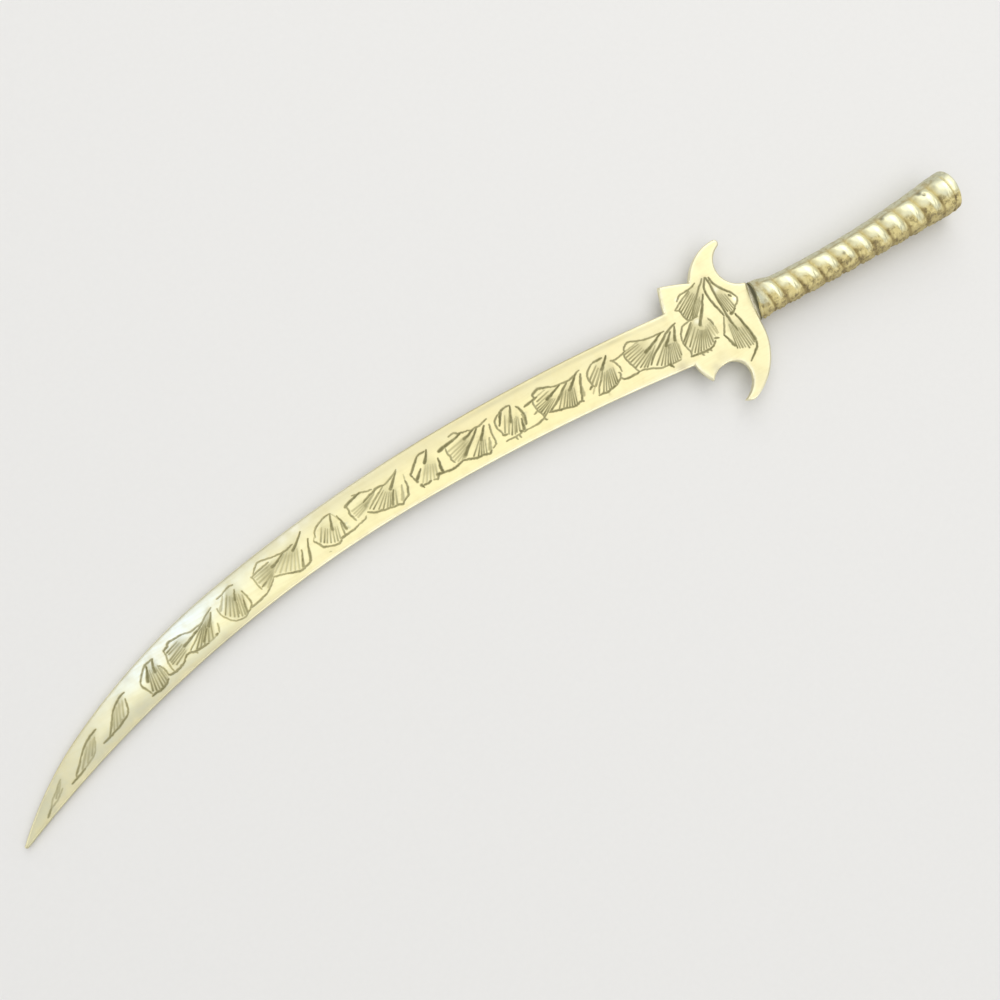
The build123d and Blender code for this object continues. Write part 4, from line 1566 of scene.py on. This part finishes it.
    def _inside(self, spots: np.ndarray, edge: np.ndarray) -> np.ndarray:
        """Tells which points lie inside: those whose level line crosses the edge an odd number of times.

        Args:
            spots: Plan points.
            edge: The outline's points in order.

        Returns:
            Whether each point lies inside.
        """
        start, end = edge, np.roll(edge, -1, axis=0)
        inside = np.zeros(len(spots), bool)
        for block in np.array_split(np.arange(len(spots)), max(1, len(spots) // 4000)):
            y = spots[block, 1][:, None]
            spans = (start[None, :, 1] > y) != (end[None, :, 1] > y)
            rise = np.where(spans, end[None, :, 1] - start[None, :, 1], 1.0)
            cross = start[None, :, 0] + (y - start[None, :, 1]) * (end[None, :, 0] - start[None, :, 0]) / rise
            inside[block] = (spans & (cross > spots[block, 0][:, None])).sum(axis=1) % 2 == 1
        return inside

    def _plan_points(self, edge: np.ndarray, normals: np.ndarray, engraved: bool) -> np.ndarray:
        """Gathers one face's points: the edge, rings inside it, a coarse fill and a fine one at strokes.

        Args:
            edge: The outline's points.
            normals: The inward normals there.
            engraved: Whether the face has the chased leaves.

        Returns:
            Plan points, the outline's first.
        """
        rings = [(edge + normals * inset, inset) for inset in self.ring_insets]
        kept = [ring[self._rim_distance(ring) > inset * 0.97] for ring, inset in rings]
        coarse = self._lattice(edge.min(axis=0), edge.max(axis=0), self.coarse_step)
        coarse = coarse[self._inside(coarse, edge)]
        coarse = coarse[self._rim_distance(coarse) > self.coarse_inset]
        inner = np.concatenate([*kept, coarse])
        if not engraved:
            return np.concatenate([edge, inner])
        fine = []
        for cuts in self.chasing.cuts:
            low, high = (np.round(corner / self.fine_step) * self.fine_step for corner in cuts.box(0.4))
            spots = self._lattice(low, high, self.fine_step)
            fine.append(spots[cuts.measure(spots)[2] < self.struck_reach])
        struck = np.concatenate(fine)
        clear = self.chasing.measure(inner)[2] > self.struck_clearance
        return np.concatenate([edge, inner[clear], struck])

    def _face(self, edge: np.ndarray, normals: np.ndarray, engraved: bool) -> tuple[np.ndarray, np.ndarray]:
        """Fills the outline with triangles.

        Args:
            edge: The outline's points.
            normals: The inward normals there.
            engraved: Whether the face has the chased leaves.

        Returns:
            Plan points, the outline's first and in order, and triangles, counter-clockwise.
        """
        spots = self._plan_points(edge, normals, engraved)
        ring = [(i, (i + 1) % len(edge)) for i in range(len(edge))]
        filled = delaunay_2d_cdt([Vector(s) for s in spots], ring, [], 0, 1e-5, True)
        places = np.array([tuple(v) for v in filled[0]])
        triangles = np.array(filled[2])
        triangles = triangles[self._inside(places[triangles].mean(axis=1), edge)]
        first = {origin: index for index, origins in enumerate(filled[3]) for origin in origins}
        order = np.array([first[i] for i in range(len(edge))])
        rest = np.setdiff1d(np.arange(len(places)), order)
        moved = np.empty(len(places), int)
        moved[order] = np.arange(len(order))
        moved[rest] = np.arange(len(order), len(places))
        return np.concatenate([places[order], places[rest]]), moved[triangles]

    def build(self) -> bpy.types.Object:
        """Builds the plate: chased top, plain underside and the wall between their rims.

        Returns:
            The piece.
        """
        edge, normals = self._edge()
        top, top_faces = self._face(edge, normals, True)
        under, under_faces = self._face(edge, normals, False)
        top_height, top_numbers = self._heights(top, self._rim_distance(top))
        under_height, under_numbers = self._heights(under, self._rim_distance(under))
        groove, stain, _ = self.chasing.measure(top)
        spots = np.concatenate([
            self.plan.places(top[:, 0], top[:, 1], top_height - groove),
            self.plan.places(under[:, 0], under[:, 1], -under_height),
        ])
        here = np.arange(len(edge))
        after = np.roll(here, -1)
        wall = np.stack([here, here + len(top), after + len(top), after], axis=1)
        faces = [*top_faces.tolist(), *(under_faces[:, ::-1] + len(top)).tolist(), *wall.tolist()]
        numbers = {name: np.concatenate([top_numbers[name], under_numbers[name]]) for name in top_numbers}
        numbers["tarnish"] = np.concatenate([stain, np.zeros(len(under))])
        return new_piece("blade_plate", spots, faces, numbers)


@dataclass
class RopeGrip:
    """The cast grip: a round bar that bows a little, with one rope strand winding along it."""

    plan: PlanFrame
    mouth: float = -55.75
    end: float = -1.6
    seam_slope: float = 0.2
    valleys: tuple[float, ...] = (
        -63.0, -58.2, -53.4, -50.0, -45.45, -40.15, -35.1, -30.6,
        -26.3, -21.75, -17.0, -12.2, -7.4, -2.6, 2.2,
    )
    relief: float = 0.7
    twist_end: float = -6.6
    valley_power: float = 2.6
    groove_place: float = -3.9
    groove_depth: float = 0.16
    line_depth: float = 0.07
    flange: float = 0.72
    waist_radius: float = 3.8
    waist_place: float = -42.0
    waist_widening: float = 1150.0
    pommel_radius: float = 4.95
    flare: float = 0.35
    flare_reach: float = 2.0
    lip_drop: float = 0.3
    lip_reach: float = 0.4
    pit_depth: float = 0.22
    ripple_height: float = 0.045
    # Each ripple: its waves along x, its turns round the grip, its lag and its share.
    ripples: tuple[Four, ...] = (
        (2.9, 3, 0, 1.0), (4.7, -5, 1, 1.0), (7.3, 2, 2, 1.0), (6.1, -9, 4, 1.0), (10.9, 7, 5, 0.7),
    )
    end_rings: int = 14
    pole_share: float = 0.99
    dome: float = 0.9
    rows: int = 420
    columns: int = 132
    # Each pit: its place x and y, its width and its height.
    pits: tuple[Four, ...] = (
        (-33.2, -0.4, 0.38, 0.38), (-10.6, 2.8, 0.5, 0.5), (-9.9, 1.9, 0.42, 0.42), (-21.2, 2.2, 0.4, 0.4),
        (-7.0, -0.8, 0.4, 0.5),
    )

    def _radius(self, x: np.ndarray) -> np.ndarray:
        """Gives the outer radius: a waist that widens as a square, a flare at the mouth and a rounded end.

        Args:
            x: Places along the grip.

        Returns:
            The radius at each place.
        """
        waist = self.waist_radius + (x - self.waist_place) ** 2 / self.waist_widening
        waist = np.minimum(waist, self.pommel_radius)
        flare = self.flare * np.exp(-(x - self.mouth) / self.flare_reach)
        drop = self.lip_drop * np.clip(1 - (x - self.mouth) / self.lip_reach, 0.0, 1.0) ** 2
        return waist + flare - drop

    @staticmethod
    def _bow(x: np.ndarray) -> np.ndarray:
        """Gives the side shift of the middle line, a shallow curve in the plan."""
        return -0.3 + 0.0012 * (x + 27) ** 2

    def build(self) -> bpy.types.Object:
        """Builds the grip on a grid of rows along it and columns round it.

        The strand's phase counts the valleys that x has passed, less the angle's share of a turn, so the
        valleys wind right-handed, at the uneven spacing of a model carved by hand.
        The radius falls by the relief times |2 phase - 1| to the valley power, which leaves pillowed lumps
        between narrow valleys, and the valleys are shallower along the upper and lower sides.

        Returns:
            The piece.
        """
        angle = np.linspace(0, tau, self.columns, endpoint=False)[None, :]
        share = np.linspace(0, 1, self.rows)[:, None]
        mouth = self.mouth + self.seam_slope * (self._bow(np.array(self.mouth)) + 4.2 * np.cos(angle))
        x = mouth + (self.end - self.dome - mouth) * share
        passed = np.interp(x, self.valleys, np.arange(len(self.valleys)))
        phase = (passed - (angle - pi / 2) / tau) % 1.0
        across = np.abs(2 * phase - 1)
        twisted = smooth_step(self.twist_end + 1.4, self.twist_end - 0.6, x)
        valley = across**self.valley_power * twisted
        side, up = np.cos(angle), np.sin(angle)
        end_groove = np.exp(-(((x - self.groove_place + 0.25 * np.cos(angle)) / 0.22) ** 2))
        upper = smooth_step(-0.55, -0.2, up)
        line = np.exp(-(((side - 0.67) / 0.05) ** 2))
        line = line * smooth_step(self.twist_end + 2.0, self.twist_end - 1.0, x) * upper
        flange = self.flange * smooth_step(-49.2, -53.6, x) * smooth_step(0.15, 0.9, side)
        relief = self.relief * (1 - 0.85 * smooth_step(0.5, 0.76, side) * upper)
        relief = relief * (1 - 0.55 * smooth_step(-0.3, -0.8, side))
        radius = self._radius(x) + flange - relief * valley
        radius = radius - self.groove_depth * end_groove - self.line_depth * line
        lowered = 1 - 0.3 * np.clip(1 - (x - self.mouth) / 2.6, 0.0, 1.0) ** 2
        knot = valley**2 * np.exp(-(((side - 0.7) / 0.1) ** 2))
        line = np.maximum(line, 1.3 * knot)
        pit = self._pitted(x, radius * side + self._bow(x), up)
        radius = radius - self.pit_depth * pit + self._ripple(x, angle) * smooth_step(0.1, -0.6, side)
        body = self.plan.places(x, self._bow(x) + radius * side, radius * up * lowered)
        lip = radius[:1]
        inner = self.plan.places(x[:1], self._bow(x[:1]) + lip * side * 0.3, lip * up * 0.2)
        rings = np.concatenate([inner, body, self._end(x[-1:], radius[-1:], angle)])
        y = self._bow(x) + radius * side
        # crescent of painted highlight on each lump's rear
        crescent = smooth_step(0.42, 0.56, phase) * smooth_step(1.0, 0.88, phase)
        # top of the painted lower shade, which dips under the highlight crescents
        edge = 0.16 - 0.1 * smooth_step(-32.0, -22.0, x) - 0.46 * (0.45 + (crescent - 0.45) * twisted)
        # painted shade along the grip's upper side
        shaded_strip = smooth_step(0.62, 0.72, side) * upper
        numbers = {
            "valley": np.maximum(valley, end_groove * 0.8),
            # painted shade with dirt along the lower side
            "lower": smooth_step(0.0, 1.0, (edge - side) / 0.42),
            # painted shade on the underside
            "under": smooth_step(-0.6, -0.92, side) + 0 * x,
            "shaded_strip": np.maximum(shaded_strip, 0.8 * smooth_step(2.3, 1.1, x - mouth)),
            "line": line,
            # wear with painted highlight crescents on the lumps
            "wear_and_highlight": self._wear_and_highlight(phase, crescent, y, up),
            "pit": pit,
        }
        numbers = {name: self._padded(grid, self.end_rings - 1) for name, grid in numbers.items()}
        return new_piece("rope_grip", rings.reshape(-1, 3), ring_faces(len(rings), self.columns), numbers)

    def _pitted(self, x: np.ndarray, y: np.ndarray, up: np.ndarray) -> np.ndarray:
        """Gives the casting pits of the upper half, which fade with the square of the distance.

        Args:
            x: Places along the grip.
            y: Places across it.
            up: The upward part of the outward direction.

        Returns:
            The pits' share at each place.
        """
        pit = np.zeros_like(x)
        for pit_x, pit_y, width, height in self.pits:
            gap = np.hypot((x - pit_x) / width, (y - pit_y) / height)
            pit = np.maximum(pit, np.where(up > 0, np.exp(-(gap**2)), 0.0))
        return pit

    def _ripple(self, x: np.ndarray, angle: np.ndarray) -> np.ndarray:
        """Gives the casting's unevenness: a sum of sine waves that wind round the grip."""
        waves = [part * np.sin(wave * x + turns * angle + lag) for wave, turns, lag, part in self.ripples]
        return self.ripple_height * sum(waves)

    def _end(self, x: np.ndarray, radius: np.ndarray, angle: np.ndarray) -> np.ndarray:
        """Gives the pommel's rings, which run out along a quarter of a sine wave.

        The radius falls by a small share of the wave's cosine and by a large share of the cube of the way to
        the pole.

        Args:
            x: Places of the last row along the grip.
            radius: Its radii.
            angle: Its angles.

        Returns:
            The rings' places in metres.
        """
        fall = np.linspace(0, self.pole_share, self.end_rings)[1:, None]
        turn = fall * pi / 2
        radius = radius * (1 - 0.18 * (1 - np.cos(turn)) - 0.82 * fall**3)
        x = x + self.dome * np.sin(turn)
        return self.plan.places(x, self._bow(x) + radius * np.cos(angle), radius * np.sin(angle))

    @staticmethod
    def _wear_and_highlight(phase: np.ndarray, crescent: np.ndarray, y: np.ndarray, up: np.ndarray) -> np.ndarray:
        """Gives the share of wear and painted highlight: a highlight crescent on each lump's rear and a paler
        patch on its front.

        Args:
            phase: The strand's phase.
            crescent: The highlight crescent's share.
            y: Places across the grip.
            up: The upward part of the outward direction.

        Returns:
            The share of wear and painted highlight at each place.
        """
        across = smooth_step(-2.2, -0.6, y) * smooth_step(2.8, 1.4, y)
        front = 0.42 * smooth_step(0.06, 0.2, phase) * smooth_step(0.62, 0.4, phase)
        front = front * smooth_step(0.0, 1.4, y)
        return np.maximum(crescent, front) * across * np.where(up > 0, 1.0, 0.4)

    @staticmethod
    def _padded(grid: np.ndarray, extra: int) -> np.ndarray:
        """Repeats a grid's first row once and its last row for the end's rings, and flattens it."""
        return np.concatenate([grid[:1], grid, np.repeat(grid[-1:], extra, axis=0)]).ravel()


@dataclass
class SolderSeam:
    """The collar of solder that ramps from the plate's shoulder up to the grip's mouth."""

    plan: PlanFrame
    shoulder: float = -56.2
    mouth: float = -55.6
    seam_slope: float = 0.2
    middle_side: float = 0.9
    shoulder_half: float = 4.6
    shoulder_height: float = 0.96
    mouth_rise: float = 1.75
    rows: int = 30
    columns: int = 96

    def build(self) -> bpy.types.Object:
        """Builds the collar on a grid across the seam and round it.

        Each ring is an ellipse whose width and height go from the shoulder's to the mouth's along a curve
        that starts flat, with a shallow trough near the mouth.

        Returns:
            The piece.
        """
        angle = np.linspace(0, tau, self.columns, endpoint=False)[None, :]
        share = np.linspace(-0.85, 1.15, self.rows)[:, None]
        held = np.clip(share, 0.0, 1.0)
        middle = self.middle_side + 0.05 * held
        wide = self.shoulder_half - 0.2 * held - 0.12 * np.exp(-(((share - 0.8) / 0.2) ** 2))
        high = self.shoulder_height + self.mouth_rise * held**0.8
        high = high - 0.25 * np.exp(-(((share - 0.85) / 0.2) ** 2)) - 0.1 * np.clip(-share, 0, 1)
        lump = 0.05 * np.sin(3 * angle + 5 * share) + 0.05 * np.sin(11 * angle - 9 * share)
        y = middle + (wide + lump) * np.cos(angle)
        z = (high + lump) * np.sin(angle)
        x = self.shoulder + (self.mouth - self.shoulder) * share + self.seam_slope * y
        rings = self.plan.places(x, y, z)
        dark_line = np.exp(-(((share - 0.55) / 0.5) ** 4))
        dirt = np.maximum(dark_line, 0.35 * np.exp(-(((share + 0.25) / 0.15) ** 2)))
        numbers = {"dirt": np.broadcast_to(dirt, y.shape).ravel()}
        return new_piece("solder_seam", rings.reshape(-1, 3), ring_faces(self.rows, self.columns), numbers)


@dataclass(frozen=True)
class SoftBox:
    """A rectangular soft light: its place, aim and sides in metres, its power in watts and its colour."""

    name: str
    place: Colour
    aim: Colour
    sides: Point
    power: float
    colour: Colour
    on_matt: bool = True
    in_gloss: bool = True

    def build(self) -> None:
        """Adds the light, turned to its aim."""
        light = bpy.data.lights.new(self.name, "AREA")
        light.shape = "RECTANGLE"
        light.size, light.size_y = self.sides
        light.energy = self.power
        light.color = self.colour
        lamp = bpy.data.objects.new(self.name, light)
        lamp.location = self.place
        lamp.rotation_euler = (Vector(self.aim) - Vector(self.place)).to_track_quat("-Z", "Y").to_euler()
        lamp.visible_diffuse = self.on_matt
        lamp.visible_glossy = self.in_gloss
        bpy.context.scene.collection.objects.link(lamp)


MIDDLE = (0.0, 0.0, 0.0)
BLUE = (0.13, 0.33, 1.0)
WARM_WHITE = (1.0, 0.99, 0.96)
SOFT_BOXES = (
    SoftBox("top_box", (0.20, 0.0, 0.95), (0.20, 0.0, 0.0), (1.9, 0.95), 4.8, (1.0, 0.985, 0.95)),
    SoftBox("key_box", (0.50, 0.74, 0.76), (0.06, 0.0, 0.0), (1.1, 0.85), 4.3, (1.0, 0.98, 0.95)),
    SoftBox("edge_box", (0.10, -0.58, 0.79), MIDDLE, (1.2, 0.3), 1.0, (1.0, 0.98, 0.94)),
    SoftBox("cool_box", (-0.20, 0.12, 0.5), (-0.07, 0.0, 0.0), (0.1, 0.1), 0.16, BLUE, on_matt=False),
    SoftBox("left_box", (-0.9, 0.15, 0.36), MIDDLE, (1.1, 0.5), 3.4, WARM_WHITE, on_matt=False),
    SoftBox("front_box", (0.3, -0.95, 0.26), MIDDLE, (1.1, 0.5), 3.4, WARM_WHITE, on_matt=False),
    SoftBox("floor_fill", (0.0, 0.0, 1.6), MIDDLE, (2.4, 2.4), 0.6, (1.0, 1.0, 1.0), in_gloss=False),
)


@dataclass
class Studio:
    """The pale floor, the soft lights and the camera at the photograph's angle."""

    camera_place: tuple[float, float, float] = (-31.249, -25.443, 254.6)
    camera_turn: tuple[float, float, float] = (6.8851, -3.2672, -31.1433)
    lens: float = 41.4
    floor_reach: float = 3.0
    tip_clearance: float = 4.25
    sky: Colour = (0.52, 0.52, 0.525)

    def _floor(self) -> None:
        """Adds the floor, tilted to touch the pommel's underside and the blade's tip."""
        low, high = cad_box
        slope = self.tip_clearance * MM / (high.x - low.x)
        reach = self.floor_reach
        corners = [(x, y, low.z + slope * (high.x - x) - 0.0002) for x, y in
                   ((-reach, -reach), (reach, -reach), (reach, reach), (-reach, reach))]
        mesh = bpy.data.meshes.new("floor")
        mesh.from_pydata(corners, [], [(0, 1, 2, 3)])
        mesh.materials.append(PaleFloor().material())
        floor = bpy.data.objects.new("floor", mesh)
        bpy.context.scene.collection.objects.link(floor)

    def _world(self) -> None:
        """Sets an even pale surround."""
        world = bpy.data.worlds.new("surround")
        world.use_nodes = True
        world.node_tree.nodes["Background"].inputs["Color"].default_value = (*self.sky, 1.0)
        bpy.context.scene.world = world

    def _camera(self) -> None:
        """Adds the camera."""
        camera = bpy.data.cameras.new("camera")
        camera.lens = self.lens
        camera.clip_start = 0.01
        viewer = bpy.data.objects.new("camera", camera)
        viewer.location = [value * MM for value in self.camera_place]
        viewer.rotation_euler = Euler([radians(value) for value in self.camera_turn])
        bpy.context.scene.collection.objects.link(viewer)
        bpy.context.scene.camera = viewer

    def build(self) -> None:
        """Builds the stage, and sets the plain view transform."""
        self._floor()
        self._world()
        for box in SOFT_BOXES:
            box.build()
        self._camera()
        bpy.context.scene.view_settings.view_transform = "Standard"


def main() -> None:
    """Builds the pieces in order, dresses them and sets the stage."""
    logging.basicConfig(level=logging.INFO, format="%(name)s %(message)s")
    plan = PlanFrame.from_cad()
    plate = BladePlate(plan, PlateOutline(), Chasing(LEAVES, seed=7)).build()
    settle(plate, "blade", BladeBrass().material())
    settle(RopeGrip(plan).build(), "grip", GripBrass().material())
    settle(SolderSeam(plan).build(), "solder", SolderGrey().material())
    Studio().build()


if __name__ == "__main__":
    main()
